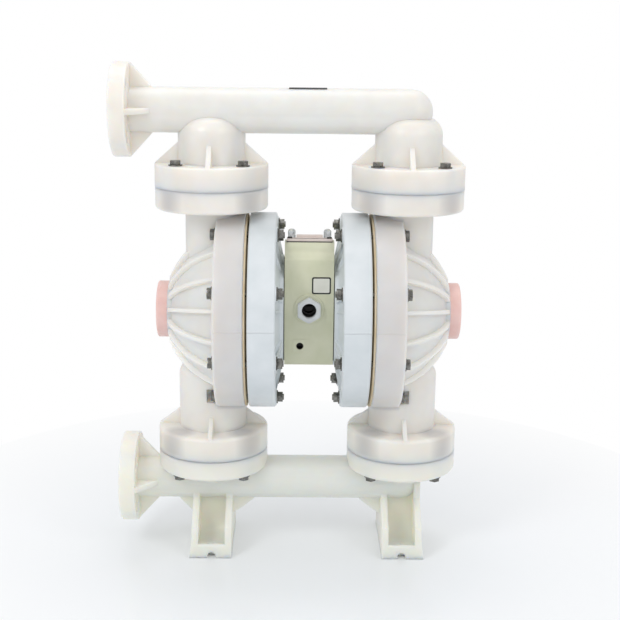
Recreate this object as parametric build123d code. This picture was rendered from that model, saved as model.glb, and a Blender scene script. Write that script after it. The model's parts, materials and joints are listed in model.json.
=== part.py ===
from build123d import *
import math
import os

# Air operated double diaphragm pump, 2 inch flanged ports, moulded plastic wetted parts.
# X runs from the left chamber to the right one, +Y to the rear, +Z up; lengths in millimetres.
# The model is laid out about the chamber axis (y = 0, z = 0) and lifted onto its feet when it is written.

# ---- overall layout ----
AXIS_HEIGHT = 415.0          # chamber axis above the floor
LEG_X = 161.0                # chamber axis centre line to each manifold leg
OUTLET_PIPE_Z = 330.0
INLET_PIPE_Z = -297.0
OUTLET_SEAM_Z = 207.0        # joint face between fluid cap and outlet manifold
INLET_SEAM_Z = -240.0        # joint face between fluid cap and inlet manifold

# ---- general clearances ----
RUN_FIT = 0.05               # radial running fit of shafts
LOOSE = 0.1                  # radial room of located pieces
BALL_GAP = 0.3               # ball to its seat at rest

# ---- pipes and flanges ----
PIPE_R = 36.6
PORT_R = 25.4
OUTLET_PIPE_END = 161.5      # centre of the round closed end
INLET_PIPE_END = 160.0
FLANGE_FACE_X = -318.2
INLET_FLANGE_FACE_X = -316.2
FLANGE_T = 27.0
FLANGE_R = 76.2
FLANGE_PCD = 120.65
FLANGE_HOLE_R = 9.5
FLANGE_RIB_RUN = 36.0
FLANGE_RIB_T = 9.0

# ---- manifold legs ----
LEG_R = 56.0
LEG_DRAFT = 1.5
LEG_REAR_Y = 8.0
NOSE_R = 47.0
NOSE_Y = -9.0
LEG_TOP_Z = 323.0
LEG_ROUND = 30.0
CAGE_R = 40.0
CAGE_RIB_W = 7.0
RISER_R = 24.0
LEG_RIB_T = 7.5
LEG_RIB_ROOT = 12.0          # how far the ribs reach into the leg
SINK = 4.0                   # overlap of a rib with the wall it stands on
LEG_RIB_H = 34.0

# ---- bolted leg joints ----
OUTLET_DISC_R = 92.8
CAP_DISC_R = 92.4
LEG_RIB_FOOT_R = OUTLET_DISC_R - 1.0
OUTLET_DISC_T = 38.5
INLET_DISC_T = 34.0
CAP_TOP_DISC_T = 35.5
CAP_LOW_DISC_T = 40.5
JOINT_PCD = 152.0
JOINT_BOLT_R = 5.0
JOINT_HOLE_R = 5.5
INSERT_R = 9.0
INSERT_L = 26.0
INSERT_DEPTH = 3.0

# ---- M10 fasteners ----
M10_HEX = 16.0
M10_HEAD_H = 6.4
M10_NUT_H = 8.0
M10_WASHER_R = 11.0
M10_WASHER_T = 2.0

# ---- ball valves ----
BALL_R = 31.75
BALL_LIFT = 16.0
SEAT_R = 46.0
SEAT_H = 16.0
SEAT_BORE_R = 21.5
SEAT_MOUTH_R = 30.0
O_RING_MEAN_R = 52.0
O_RING_SECTION_R = 2.6
O_RING_GROOVE_D = 5.4

# ---- chambers ----
RIM_R = 163.0
RIM_EDGE = 16.0              # rim bolt circle in from the rim's edge
RIM_BOLT_R = RIM_R - RIM_EDGE
RIM_BOLT_COUNT = 8
RIM_CHAMFER = 2.5
BEAD_OUT_R = RIM_BOLT_R - 9.0
BEAD_IN_R = BEAD_OUT_R - 14.0
AIR_RIM_IN = 53.6
AIR_RIM_OUT = 97.6
FLUID_RIM_IN = 103.6
FLUID_RIM_OUT = 152.0
FLANGE_LIP_T = 2.6           # outer lip of the diaphragm
FLANGE_LIP_R = RIM_R - 1.5
DOME_X = 97.0
DOME_R = BEAD_IN_R + 14.0
RIB_R = DOME_R + 8.0
RIB_T = 6.0
RIB_COUNT = 16
RIB_PHASE = 180 / RIB_COUNT  # no rib on the vertical, so none runs through a neck
CAVITY_X = 104.0
BOSS_R = 49.0
BOSS_X = DOME_X + DOME_R - 2.0
PLUG_R = BOSS_R - 2.0
PLUG_X = BOSS_X + 18.3
PLUG_SPIGOT_R = 30.0
PLUG_SPIGOT_L = 10.0
TOP_NECK_R = 43.5
TOP_NECK_BORE_R = 30.0
LOW_NECK_R = 57.0
LOW_NECK_TOP = -90.0
LOW_RIB_H = 26.0

# ---- air caps ----
HUB_X = 41.5
HUB_R = 92.0
TROUGH_DEPTH = 5.5
AIR_FLOOR_X = 52.0
AIR_FLOOR_R = 80.0
AIR_RIB_T = 8.0
AIR_RIB_H = 5.0
NUT_BOSS_R = 14.0
NUT_BOSS_H = 1.6
CAP_SCREW_AT = 45.0
CAP_SCREW_R = 4.0
CAP_SCREW_L = 18.0
CAP_SCREW_HEAD_R = 6.5
CAP_SCREW_HEAD_H = 8.0

# ---- centre block ----
BLOCK_X = 40.0
BLOCK_FRONT = -64.4
BLOCK_BACK = 64.4
BLOCK_BOTTOM = -78.0
BLOCK_TOP = 124.0
LEDGE_Z = 97.0
LEDGE_RISE = 12.0
LEDGE_RUN = 9.0
INLET_BOSS_R = 25.0
INLET_BOSS_H = 3.0
AIR_INLET_Z = 15.7
AIR_INLET_R = 12.06          # G 3/4 thread, minor radius
BUSHING_THREAD_R = 16.6
BUSHING_THREAD_L = 18.0
BUSHING_HEX = 37.0
BUSHING_HEX_L = 11.0
PILOT_PORT_X = -14.5
PILOT_PORT_Z = -46.3
PILOT_PORT_R = 5.72          # G 1/4 thread, minor radius
PILOT_PORT_L = 20.0
AIRWAY_R = 10.0
AIRWAY_Z = 60.0
AIRWAY_Y = -36.0
EXHAUST_Z = -46.0
EXHAUST_R = 13.2
EXHAUST_L = 18.0

# ---- shaft and diaphragms ----
STROKE = 18.0
ROD_R = 12.5
ROD_ROOM = 1.0               # radial room of the shaft where nothing guides it
STUD_R = 8.0
ROD_BUSH_R = 16.0
ROD_BUSH_IN = 6.0
ROD_SEAL_IN = 33.2
ROD_SEAL_OUT = 39.8
PLATE_R = 80.0
PLATE_T = 10.0
DIAPHRAGM_CLAMP_X = 110.0
DIAPHRAGM_T = 4.0
ROD_NUT_HEX = 24.0
ROD_NUT_H = 10.0
STUD_PROUD = 2.0

# ---- pilot rod ----
PILOT_Z = -40.0
PILOT_R = 5.0
PILOT_BUSH_R = 9.0
PILOT_STROKE = 6.0
PILOT_GAP = 0.3

# ---- air valve and silencer on the rear face ----
GASKET_T = 1.5
VALVE_HALF_X = 33.0
VALVE_BACK = 117.0
VALVE_LOW = -4.0
VALVE_HIGH = 84.0
SPOOL_Y = 92.0
SPOOL_Z = 44.0
SPOOL_R = 14.0
SPOOL_HALF = 27.0
END_CAP_T = 5.5
END_CAP_SIDE = 42.0
VALVE_SCREW_X = 26.0
VALVE_SCREW_R = 3.0
VALVE_SCREW_IN = 14.0
VALVE_HEAD_R = 5.0
VALVE_HEAD_H = 5.0
SILENCER_R = 25.0
SILENCER_L = 74.0

# ---- top cover ----
TOWER_BACK = -27.0           # rear of the raised front of the block
SHOULDER_Z = 104.0           # top of the block behind it
COVER_X = 37.0
COVER_FRONT = -54.0
COVER_STRIP_BACK = -40.0
COVER_BACK = -28.5
COVER_T = 4.2
COVER_PAD_X = 21.5
COVER_PAD_H = 3.2
COVER_SCREW_X = 32.0
COVER_SCREW_Y = -47.0
COVER_SCREW_R = 2.5
COVER_SCREW_L = 12.0
COVER_HEAD_R = 4.0
COVER_HEAD_H = 2.4
TOP_CAP_X = 29.0
TOP_CAP_Y = -33.5
TOP_CAP_R = 6.3
TOP_CAP_H = 19.0
TOP_CAP_PEG_R = 4.0
TOP_CAP_PEG_L = 6.0

# ---- feet ----
FOOT_RIB_T = 11.0
FOOT_HALF_X = 33.5
FOOT_FLARE = 4.5
FOOT_FLARE_H = 34.0
FOOT_DEPTH = 80.0
FOOT_TOP_DEPTH = 31.0
FOOT_WALL_T = 8.0
FOOT_WALL_H = 24.0
FOOT_POCKET_H = 16.0
FOOT_POCKET_END = 45.0
FOOT_SCOOP_Z = 64.0
FOOT_WEB_T = 20.0
FOOT_HOLE_Y = 58.0
FOOT_HOLE_R = 6.75
FOOT_NOTCH_W = 14.0
FOOT_NOTCH_H = 11.0
FOOT_NOTCH_END = 67.0
INLET_NECK_R = 38.5
OUTER_GUSSET = 26.0
INNER_GUSSET = 37.0
GUSSET_H = 30.0
GUSSET_T = 9.0

SIDES = {"left": -1, "right": 1}


def cyl_z(radius, z0, z1, x=0.0, y=0.0):
    """Upright cylinder between two heights."""
    return Pos(x, y, (z0 + z1) / 2) * Cylinder(radius, abs(z1 - z0))


def cyl_x(radius, x0, x1, y=0.0, z=0.0):
    """Cylinder along X between two stations."""
    return Pos((x0 + x1) / 2, y, z) * Rot(0, 90, 0) * Cylinder(radius, abs(x1 - x0))


def cyl_y(radius, y0, y1, x=0.0, z=0.0):
    """Cylinder along Y between two stations."""
    return Pos(x, (y0 + y1) / 2, z) * Rot(90, 0, 0) * Cylinder(radius, abs(y1 - y0))


def block(x0, x1, y0, y1, z0, z1):
    """Box from its six faces."""
    return Pos((x0 + x1) / 2, (y0 + y1) / 2, (z0 + z1) / 2) * Box(x1 - x0, y1 - y0, z1 - z0)


def slab(points, thickness, plane=Plane.XZ):
    """Flat plate with a polygon outline, centred on its plane."""
    face = plane * make_face(Polyline(*points, close=True))
    return extrude(face, amount=thickness / 2, both=True)


def turned_x(points):
    """Solid of revolution about X from (x, r) points."""
    face = Plane.XZ * make_face(Polyline(*points, close=True))
    return revolve(face, axis=Axis.X)


def turned_z(points):
    """Solid of revolution about Z from (r, z) points."""
    face = Plane.XZ * make_face(Polyline(*points, close=True))
    return revolve(face, axis=Axis.Z)


def hex_x(across_flats, x0, x1):
    """Hexagonal bar along X."""
    sketch = Plane.YZ * RegularPolygon(across_flats / 2, 6, major_radius=False)
    return Pos(x0, 0, 0) * extrude(sketch, amount=x1 - x0)


def around_x(shape, angles):
    """Copies of a shape turned about X."""
    return [Rot(a, 0, 0) * shape for a in angles]


def joint_points():
    """Offsets of the four bolts of a leg joint from the leg axis."""
    at = JOINT_PCD / 2 / 2 ** 0.5
    return [(i * at, j * at) for i in (-1, 1) for j in (-1, 1)]


def rim_angles():
    """Bolt angles round a chamber rim, none on the vertical or the horizontal."""
    step = 360 / RIM_BOLT_COUNT
    return [step / 2 + step * i for i in range(RIM_BOLT_COUNT)]


def rib_angles():
    """Angles of the dome ribs, counted from the top."""
    return [RIB_PHASE + i * 360 / RIB_COUNT for i in range(RIB_COUNT)]


def mirrored(shape):
    """The left-hand copy of a right-hand piece."""
    return mirror(shape, about=Plane.YZ)


def write(name, shape):
    """Lift a piece onto the feet and write it as its own node."""
    solids = [Pos(0, 0, AXIS_HEIGHT) * solid for solid in shape.solids()]
    export_step(Compound(solids), f"parts/{name}.step")


def group(shapes):
    """Identical loose pieces kept as separate solids of one node."""
    return Compound([solid for shape in shapes for solid in shape.solids()])


# ---------------------------------------------------------------- ball valves
def seat_top(seam):
    """Height of a seat's upper face."""
    return seam + SEAT_H / 2


def ball_center(seam):
    """Ball centre when it rests in the 45 degree mouth of its seat."""
    apex = seat_top(seam) - SEAT_MOUTH_R
    return apex + (BALL_R + BALL_GAP) * 2 ** 0.5


def seat(seam, x):
    """Ring with a conical mouth, half of it in each side of the joint."""
    top = seat_top(seam)
    low = top - SEAT_H
    cone = SEAT_MOUTH_R - SEAT_BORE_R
    ring = turned_z([
        (SEAT_BORE_R, low), (SEAT_R, low), (SEAT_R, top),
        (SEAT_MOUTH_R, top), (SEAT_BORE_R, top - cone),
    ])
    return Pos(x, 0, 0) * ring


def seat_room(seam, x):
    """Counterbore for a seat."""
    return cyl_z(SEAT_R + LOOSE, seat_top(seam) - SEAT_H, seat_top(seam) + LOOSE, x)


def o_ring(seam, x, below):
    """Ring seal in the groove of the lower or the upper disc."""
    side = -1 if below else 1
    z = seam + side * (O_RING_GROOVE_D - O_RING_SECTION_R - LOOSE / 2)
    return Pos(x, 0, z) * Torus(O_RING_MEAN_R, O_RING_SECTION_R)


def o_ring_groove(seam, x, below):
    """Square groove of the ring seal."""
    z1 = seam - O_RING_GROOVE_D if below else seam + O_RING_GROOVE_D
    width = O_RING_SECTION_R + LOOSE
    outer = cyl_z(O_RING_MEAN_R + width, min(seam, z1), max(seam, z1), x)
    return outer - cyl_z(O_RING_MEAN_R - width, min(seam, z1), max(seam, z1), x)


def ball_stop(seam, x, z_end):
    """Crossed bars over a ball, and the guide ribs that lead it there."""
    stop_z = ball_center(seam) + BALL_R + BALL_LIFT + BALL_GAP
    guide_r = BALL_R + 3 * BALL_GAP
    low = seat_top(seam) + LOOSE
    bars = None
    for angle in (45, 135):
        bar = block(-CAGE_R - 1, CAGE_R + 1, -CAGE_RIB_W / 2, CAGE_RIB_W / 2, low, z_end)
        bar = Rot(0, 0, angle) * bar
        bars = bar if bars is None else bars + bar
    lane = cyl_z(guide_r, low - 1, stop_z)
    return Pos(x, 0, 0) * (bars - lane)


# ------------------------------------------------------------------ manifolds
def flange(face_x, z):
    """Pipe flange with its bolt holes and four ribs back to the pipe."""
    inner_x = face_x + FLANGE_T
    disc = cyl_x(FLANGE_R, face_x, inner_x)
    disc = fillet(disc.edges().filter_by(GeomType.CIRCLE), 2.0)
    rib = slab([
        (inner_x - 1, PIPE_R - 4), (inner_x - 1, FLANGE_R - 2),
        (inner_x + 1, FLANGE_R - 2), (inner_x + FLANGE_RIB_RUN, PIPE_R - 1),
        (inner_x + FLANGE_RIB_RUN, PIPE_R - 4),
    ], FLANGE_RIB_T)
    for copy in around_x(rib, (0, 90, 180, 270)):
        disc += copy
    hole = cyl_x(FLANGE_HOLE_R, face_x - 1, inner_x + 1, z=FLANGE_PCD / 2)
    for copy in around_x(hole, (45, 135, 225, 315)):
        disc -= copy
    return Pos(0, 0, z) * disc


def round_pipe(face_x, z, end_x):
    """Pipe with a round closed end."""
    tube = cyl_x(PIPE_R, face_x + 1, end_x, z=z)
    return tube + Pos(end_x, 0, z) * Sphere(PIPE_R)


def pipe_bore(face_x, z, end_x):
    """Bore of a manifold pipe with a round end."""
    hole = cyl_x(PORT_R, face_x - 1, end_x, z=z)
    return hole + Pos(end_x, 0, z) * Sphere(PORT_R)


def upright_ribs(base_z, foot_r, root_r, rise, thickness):
    """Four triangular ribs round a leg; rise is negative for ribs that hang."""
    sink = -SINK if rise > 0 else SINK
    inner = root_r - LEG_RIB_ROOT
    outline = [
        (inner, base_z + sink), (foot_r, base_z + sink), (foot_r, base_z),
        (root_r, base_z + rise), (inner, base_z + rise),
    ]
    rib = slab(outline, thickness)
    return [Rot(0, 0, angle) * rib for angle in (0, 90, 180, 270)]


def outlet_leg():
    """Leg body over an outlet joint: round rear body with draft, domed nose, disc and ribs."""
    base = OUTLET_SEAM_Z + OUTLET_DISC_T
    foot = base - SINK
    height = LEG_TOP_Z - foot
    rear = Pos(0, LEG_REAR_Y, foot + height / 2) * Cone(LEG_R, LEG_R - LEG_DRAFT, height)
    rear = fillet(rear.edges().group_by(Axis.Z)[-1], LEG_ROUND)
    nose = cyl_z(NOSE_R, foot, LEG_TOP_Z - LEG_DRAFT, 0, NOSE_Y)
    nose = fillet(nose.edges().group_by(Axis.Z)[-1], LEG_ROUND - 2)
    disc = cyl_z(OUTLET_DISC_R, OUTLET_SEAM_Z, base)
    disc = fillet(disc.edges().group_by(Axis.Z)[-1], 2.5)
    ribs = upright_ribs(base, LEG_RIB_FOOT_R, LEG_R - 2, LEG_RIB_H, LEG_RIB_T)
    return rear + nose + disc + ribs


def outlet_manifold():
    """Discharge manifold: flanged pipe over two ball chambers."""
    body = round_pipe(FLANGE_FACE_X, OUTLET_PIPE_Z, OUTLET_PIPE_END) + flange(FLANGE_FACE_X, OUTLET_PIPE_Z)
    leg = outlet_leg()
    for side in (-1, 1):
        body += Pos(side * LEG_X, 0, 0) * leg
    body -= pipe_bore(FLANGE_FACE_X, OUTLET_PIPE_Z, OUTLET_PIPE_END)
    chamber_top = OUTLET_PIPE_Z - PORT_R - 8
    for side in (-1, 1):
        x = side * LEG_X
        body -= cyl_z(CAGE_R, seat_top(OUTLET_SEAM_Z) - 1, chamber_top, x)
        body -= cyl_z(RISER_R, chamber_top - 1, OUTLET_PIPE_Z, x)
        body += ball_stop(OUTLET_SEAM_Z, x, chamber_top)
        body -= seat_room(OUTLET_SEAM_Z, x)
        for dx, dy in joint_points():
            body -= cyl_z(JOINT_HOLE_R, OUTLET_SEAM_Z - 1, OUTLET_SEAM_Z + OUTLET_DISC_T + 1, x + dx, dy)
    return body


def foot_section():
    """Fore-and-aft section of a foot between its side ribs: wall, bolt pocket, scoop and web, both ways."""
    floor = -AXIS_HEIGHT
    half = FOOT_WEB_T / 2
    top = INLET_PIPE_Z
    front = [
        (FOOT_DEPTH, floor), (FOOT_DEPTH, floor + FOOT_WALL_H - 2), (FOOT_DEPTH - 2, floor + FOOT_WALL_H),
        (FOOT_DEPTH - FOOT_WALL_T, floor + FOOT_WALL_H), (FOOT_DEPTH - FOOT_WALL_T - 2, floor + FOOT_POCKET_H),
        (FOOT_POCKET_END, floor + FOOT_POCKET_H),
    ]
    steps = 8
    for i in range(1, steps + 1):
        turn = math.radians(90 * i / steps)
        y = half + (FOOT_POCKET_END - half) * (1 - math.sin(turn))
        z = floor + FOOT_POCKET_H + (FOOT_SCOOP_Z - FOOT_POCKET_H) * (1 - math.cos(turn))
        front.append((y, z))
    front.append((half, top))
    back = [(-y, z) for y, z in reversed(front)]
    return front + back


def foot():
    """Foot under an inlet joint, centred on its leg and the same to the front and the rear."""
    floor = -AXIS_HEIGHT
    body = slab(foot_section(), 2 * FOOT_HALF_X - FOOT_RIB_T, Plane.YZ)
    shoulder = INLET_PIPE_Z - PIPE_R * 0.75
    side_plate = slab([
        (-FOOT_TOP_DEPTH, INLET_PIPE_Z), (FOOT_TOP_DEPTH, INLET_PIPE_Z), (FOOT_TOP_DEPTH, shoulder),
        (FOOT_DEPTH - 6, floor + FOOT_SCOOP_Z - 12), (FOOT_DEPTH, floor + FOOT_WALL_H), (FOOT_DEPTH, floor),
        (-FOOT_DEPTH, floor), (-FOOT_DEPTH, floor + FOOT_WALL_H), (-FOOT_DEPTH + 6, floor + FOOT_SCOOP_Z - 12),
        (-FOOT_TOP_DEPTH, shoulder),
    ], FOOT_RIB_T, Plane.YZ)
    at = FOOT_HALF_X - FOOT_RIB_T / 2
    body += [Pos(-at, 0, 0) * side_plate, Pos(at, 0, 0) * side_plate]
    body += slab([
        (FOOT_HALF_X - SINK, floor), (FOOT_HALF_X + FOOT_FLARE, floor),
        (FOOT_HALF_X, floor + FOOT_FLARE_H), (FOOT_HALF_X - SINK, floor + FOOT_FLARE_H),
    ], 2 * FOOT_DEPTH)
    round_r = FOOT_NOTCH_W / 2
    for end in (-1, 1):
        y0, y1 = sorted((end * FOOT_NOTCH_END, end * (FOOT_DEPTH + 1)))
        notch = block(-round_r, round_r, y0, y1, floor - 1, floor + FOOT_NOTCH_H - round_r)
        arch = cyl_y(round_r, y0, y1, z=floor + FOOT_NOTCH_H - round_r)
        hole = cyl_z(FOOT_HOLE_R, floor - 1, floor + FOOT_POCKET_H + 1, 0, end * FOOT_HOLE_Y)
        body -= [notch, arch, hole]
    return body


def gusset(reach):
    """Triangular web in the foot's corner under the pipe; reach is its run along the pipe."""
    top = INLET_PIPE_Z - PIPE_R + SINK
    x0 = FOOT_HALF_X - SINK
    x1 = FOOT_HALF_X + reach
    under = INLET_PIPE_Z - PIPE_R
    return slab([
        (x0, top), (x1, top), (x1 - 1, under - 3), (FOOT_HALF_X + reach * 0.45, under - GUSSET_H * 0.62),
        (FOOT_HALF_X, under - GUSSET_H), (x0, under - GUSSET_H),
    ], GUSSET_T)


def inlet_leg():
    """Leg under an inlet joint: disc, short neck into the pipe, and foot."""
    base = INLET_SEAM_Z - INLET_DISC_T
    neck = cyl_z(INLET_NECK_R, INLET_PIPE_Z, base + SINK)
    disc = cyl_z(CAP_DISC_R, base, INLET_SEAM_Z)
    disc = fillet(disc.edges().group_by(Axis.Z)[0], 7.0)
    return neck + disc + foot()


def inlet_manifold():
    """Suction manifold: flanged pipe under two joints, standing on two feet."""
    body = round_pipe(INLET_FLANGE_FACE_X, INLET_PIPE_Z, INLET_PIPE_END) + flange(INLET_FLANGE_FACE_X, INLET_PIPE_Z)
    leg = inlet_leg()
    inner_web = gusset(INNER_GUSSET)
    body += Pos(LEG_X, 0, 0) * (leg + mirrored(inner_web))
    body += Pos(-LEG_X, 0, 0) * (mirrored(leg) + inner_web + mirrored(gusset(OUTER_GUSSET)))
    body -= pipe_bore(INLET_FLANGE_FACE_X, INLET_PIPE_Z, INLET_PIPE_END)
    base = INLET_SEAM_Z - INLET_DISC_T
    for side in (-1, 1):
        x = side * LEG_X
        body -= cyl_z(RISER_R + 4, INLET_PIPE_Z, INLET_SEAM_Z, x)
        body -= seat_room(INLET_SEAM_Z, x)
        body -= o_ring_groove(INLET_SEAM_Z, x, True)
        for dx, dy in joint_points():
            body -= cyl_z(JOINT_HOLE_R, base - 1, INLET_SEAM_Z + 1, x + dx, dy)
            body -= cyl_z(M10_WASHER_R + 1, base - M10_WASHER_T - M10_HEAD_H - 4, base, x + dx, dy)
    return body


# ----------------------------------------------------------------- fluid caps
def arc_r(center_x, radius, x):
    """Radius of a sphere about the chamber axis at a station."""
    return (radius ** 2 - (x - center_x) ** 2) ** 0.5


def arc_x(center_x, radius, r):
    """Station of a sphere about the chamber axis at a radius."""
    return center_x + (radius ** 2 - r ** 2) ** 0.5


def arc(center_x, radius, x0, x1):
    """Meridian of a sphere between two stations, as an edge in the XZ plane."""
    mid = (x0 + x1) / 2
    return ThreePointArc(*[(x, arc_r(center_x, radius, x)) for x in (x0, mid, x1)])


def cavity_radius():
    """Radius of the liquid chamber, which leaves the rim at the bead."""
    return ((FLUID_RIM_IN - CAVITY_X) ** 2 + BEAD_IN_R ** 2) ** 0.5


def dome_shell():
    """Rim, dome and plug boss turned in one piece, with the seam between two ribs."""
    port_r = PLUG_SPIGOT_R + LOOSE
    inside = arc_x(CAVITY_X, cavity_radius(), port_r)
    boss = arc_x(DOME_X, DOME_R, BOSS_R)
    chamfer = 2.5
    outline = [
        Polyline((FLUID_RIM_IN, BEAD_IN_R), (FLUID_RIM_IN, RIM_R - chamfer), (FLUID_RIM_IN + chamfer, RIM_R),
                 (FLUID_RIM_OUT - chamfer, RIM_R), (FLUID_RIM_OUT, RIM_R - chamfer),
                 (FLUID_RIM_OUT, arc_r(DOME_X, DOME_R, FLUID_RIM_OUT))),
        arc(DOME_X, DOME_R, FLUID_RIM_OUT, boss),
        Polyline((boss, BOSS_R), (BOSS_X - 1, BOSS_R), (BOSS_X, BOSS_R - 1), (BOSS_X, port_r), (inside, port_r)),
        arc(CAVITY_X, cavity_radius(), FLUID_RIM_IN, inside),
    ]
    shell = revolve(Plane.XZ * make_face(outline), axis=Axis.X)
    return Rot(360 / RIB_COUNT, 0, 0) * shell


def dome_rib():
    """One radial rib of the dome, its root sunk in the wall."""
    root = DOME_R - 4
    x0 = FLUID_RIM_OUT - 3
    x1 = BOSS_X - 2
    outline = [
        arc(DOME_X, RIB_R, x0, x1),
        Line((x1, arc_r(DOME_X, RIB_R, x1)), (x1, BOSS_R - 3)),
        Line((x1, BOSS_R - 3), (arc_x(DOME_X, root, BOSS_R - 3), BOSS_R - 3)),
        arc(DOME_X, root, x0, arc_x(DOME_X, root, BOSS_R - 3)),
        Line((x0, arc_r(DOME_X, root, x0)), (x0, arc_r(DOME_X, RIB_R, x0))),
    ]
    return extrude(Plane.XZ * make_face(outline), amount=RIB_T / 2, both=True)


def cap_disc(seam, thickness, upward):
    """Joint disc of a fluid cap, rounded on the side of its neck."""
    z0, z1 = (seam - thickness, seam) if upward else (seam, seam + thickness)
    disc = cyl_z(CAP_DISC_R, z0, z1)
    return fillet(disc.edges().group_by(Axis.Z)[0 if upward else -1], 6.0)


def necks():
    """Both necks of the right-hand fluid cap, cut back to inside the chamber wall."""
    top_z = OUTLET_SEAM_Z - CAP_TOP_DISC_T
    low_z = INLET_SEAM_Z + CAP_LOW_DISC_T
    upper = cyl_z(TOP_NECK_R, DOME_R / 3, top_z + 2) + cap_disc(OUTLET_SEAM_Z, CAP_TOP_DISC_T, True)
    lower = cyl_z(LOW_NECK_R, low_z - 2, LOW_NECK_TOP)
    lower = fillet(lower.edges().group_by(Axis.Z)[-1], 20.0)
    lower += [cap_disc(INLET_SEAM_Z, CAP_LOW_DISC_T, False)]
    lower += upright_ribs(low_z, LEG_RIB_FOOT_R, LOW_NECK_R, LOW_RIB_H, LEG_RIB_T - 1)
    room = Pos(CAVITY_X, 0, 0) * Sphere(cavity_radius() + 3)
    return [Pos(LEG_X, 0, 0) * upper - room, Pos(LEG_X, 0, 0) * lower - room]


def fluid_cap():
    """Right-hand fluid cap: ribbed dome, rim, two necks with their joint discs."""
    body = dome_shell() + around_x(dome_rib(), rib_angles())
    body += necks()
    body -= cyl_z(TOP_NECK_BORE_R, DOME_R / 2, OUTLET_SEAM_Z, LEG_X)
    body -= cyl_z(CAGE_R, INLET_SEAM_Z, LOW_NECK_TOP + 10, LEG_X)
    body += ball_stop(INLET_SEAM_Z, LEG_X, ball_center(INLET_SEAM_Z) + BALL_R + BALL_LIFT + 13)
    body -= seat_room(OUTLET_SEAM_Z, LEG_X)
    body -= seat_room(INLET_SEAM_Z, LEG_X)
    body -= o_ring_groove(OUTLET_SEAM_Z, LEG_X, True)
    for dx, dy in joint_points():
        x, y = LEG_X + dx, dy
        body -= cyl_z(INSERT_R, OUTLET_SEAM_Z - INSERT_DEPTH - INSERT_L, OUTLET_SEAM_Z + 1, x, y)
        body -= cyl_z(INSERT_R, INLET_SEAM_Z - 1, INLET_SEAM_Z + INSERT_DEPTH + INSERT_L, x, y)
    for angle in rim_angles():
        hole = cyl_x(JOINT_HOLE_R, FLUID_RIM_IN - 1, FLUID_RIM_OUT + 1, z=RIM_BOLT_R)
        spot = cyl_x(M10_WASHER_R + 0.5, FLUID_RIM_OUT, FLUID_RIM_OUT + 16, z=RIM_BOLT_R)
        body -= [Rot(angle, 0, 0) * hole, Rot(angle, 0, 0) * spot]
    return body


def cap_plug():
    """Right-hand plug that closes the side port of a fluid cap."""
    head = cyl_x(PLUG_R, BOSS_X, PLUG_X)
    head = fillet(head.edges().filter_by(GeomType.CIRCLE).sort_by(Axis.X)[-1], 3.0)
    return head + cyl_x(PLUG_SPIGOT_R, BOSS_X - PLUG_SPIGOT_L, BOSS_X + 1)


# ------------------------------------------------------------------- air side
def air_cap():
    """Right-hand air cap: hub, trough with a rib to every nut, rim, and the air chamber behind the diaphragm."""
    rim_face = BEAD_IN_R + 12
    bore_r = ROD_R + ROD_ROOM
    body = turned_x([
        (HUB_X, bore_r), (HUB_X, HUB_R), (HUB_X + TROUGH_DEPTH, HUB_R + 1),
        (AIR_RIM_IN + TROUGH_DEPTH, rim_face - 3), (AIR_RIM_IN, rim_face),
        (AIR_RIM_IN, RIM_R - 2), (AIR_RIM_IN + 2, RIM_R), (AIR_RIM_OUT - 2, RIM_R),
        (AIR_RIM_OUT, RIM_R - 2), (AIR_RIM_OUT, BEAD_IN_R), (AIR_RIM_OUT - 15, BEAD_IN_R - 4),
        (AIR_FLOOR_X + 16, AIR_FLOOR_R + 24), (AIR_FLOOR_X + 4, AIR_FLOOR_R + 5),
        (AIR_FLOOR_X, AIR_FLOOR_R), (AIR_FLOOR_X, bore_r),
    ])
    body = Rot(360 / RIB_COUNT, 0, 0) * body
    boss_x = AIR_RIM_IN - NUT_BOSS_H
    rib = slab([
        (HUB_X + 1, HUB_R - 2), (boss_x, RIM_BOLT_R - NUT_BOSS_R + 1), (boss_x, RIM_BOLT_R),
        (AIR_RIM_IN + 8, RIM_BOLT_R), (AIR_RIM_IN + 8, rim_face - 10), (HUB_X + 8, HUB_R - 2),
    ], AIR_RIB_T)
    low_rib = slab([
        (HUB_X + 2.5, HUB_R - 2), (AIR_RIM_IN + 1, rim_face + 1), (AIR_RIM_IN + 8, rim_face + 1),
        (AIR_RIM_IN + 8, rim_face - 10), (HUB_X + 8, HUB_R - 2),
    ], AIR_RIB_T / 2)
    boss = cyl_x(NUT_BOSS_R, boss_x, AIR_RIM_IN + 1, z=RIM_BOLT_R)
    body += around_x(rib, rim_angles()) + around_x(low_rib, [a + RIB_PHASE for a in rim_angles()])
    body += around_x(boss, rim_angles())
    body -= cyl_x(PILOT_R + 1, HUB_X - 1, AIR_FLOOR_X + 1, z=PILOT_Z)
    body -= [cyl_x(CAP_SCREW_R + LOOSE, HUB_X - 1, AIR_FLOOR_X + 1, y, z) for y, z in screw_points()]
    hole = cyl_x(JOINT_HOLE_R, boss_x - 1, AIR_RIM_OUT + 1, z=RIM_BOLT_R)
    return body - around_x(hole, rim_angles())


def screw_points():
    """Places of the screws between an air cap and the centre block."""
    return [(i * CAP_SCREW_AT, j * CAP_SCREW_AT) for i in (-1, 1) for j in (-1, 1)]


def block_gasket():
    """Right-hand gasket between the centre block and an air cap."""
    sheet = cyl_x(HUB_R - 3, BLOCK_X, HUB_X)
    sheet = sheet & block(
        BLOCK_X, HUB_X, BLOCK_FRONT + 2.4, BLOCK_BACK - 2.4, BLOCK_BOTTOM + 3, BLOCK_TOP,
    )
    sheet -= cyl_x(ROD_BUSH_R, BLOCK_X - 1, HUB_X + 1)
    sheet -= cyl_x(PILOT_R + 1, BLOCK_X - 1, HUB_X + 1, z=PILOT_Z)
    for y, z in screw_points():
        sheet -= cyl_x(CAP_SCREW_R + LOOSE, BLOCK_X - 1, HUB_X + 1, y, z)
    return sheet


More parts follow.
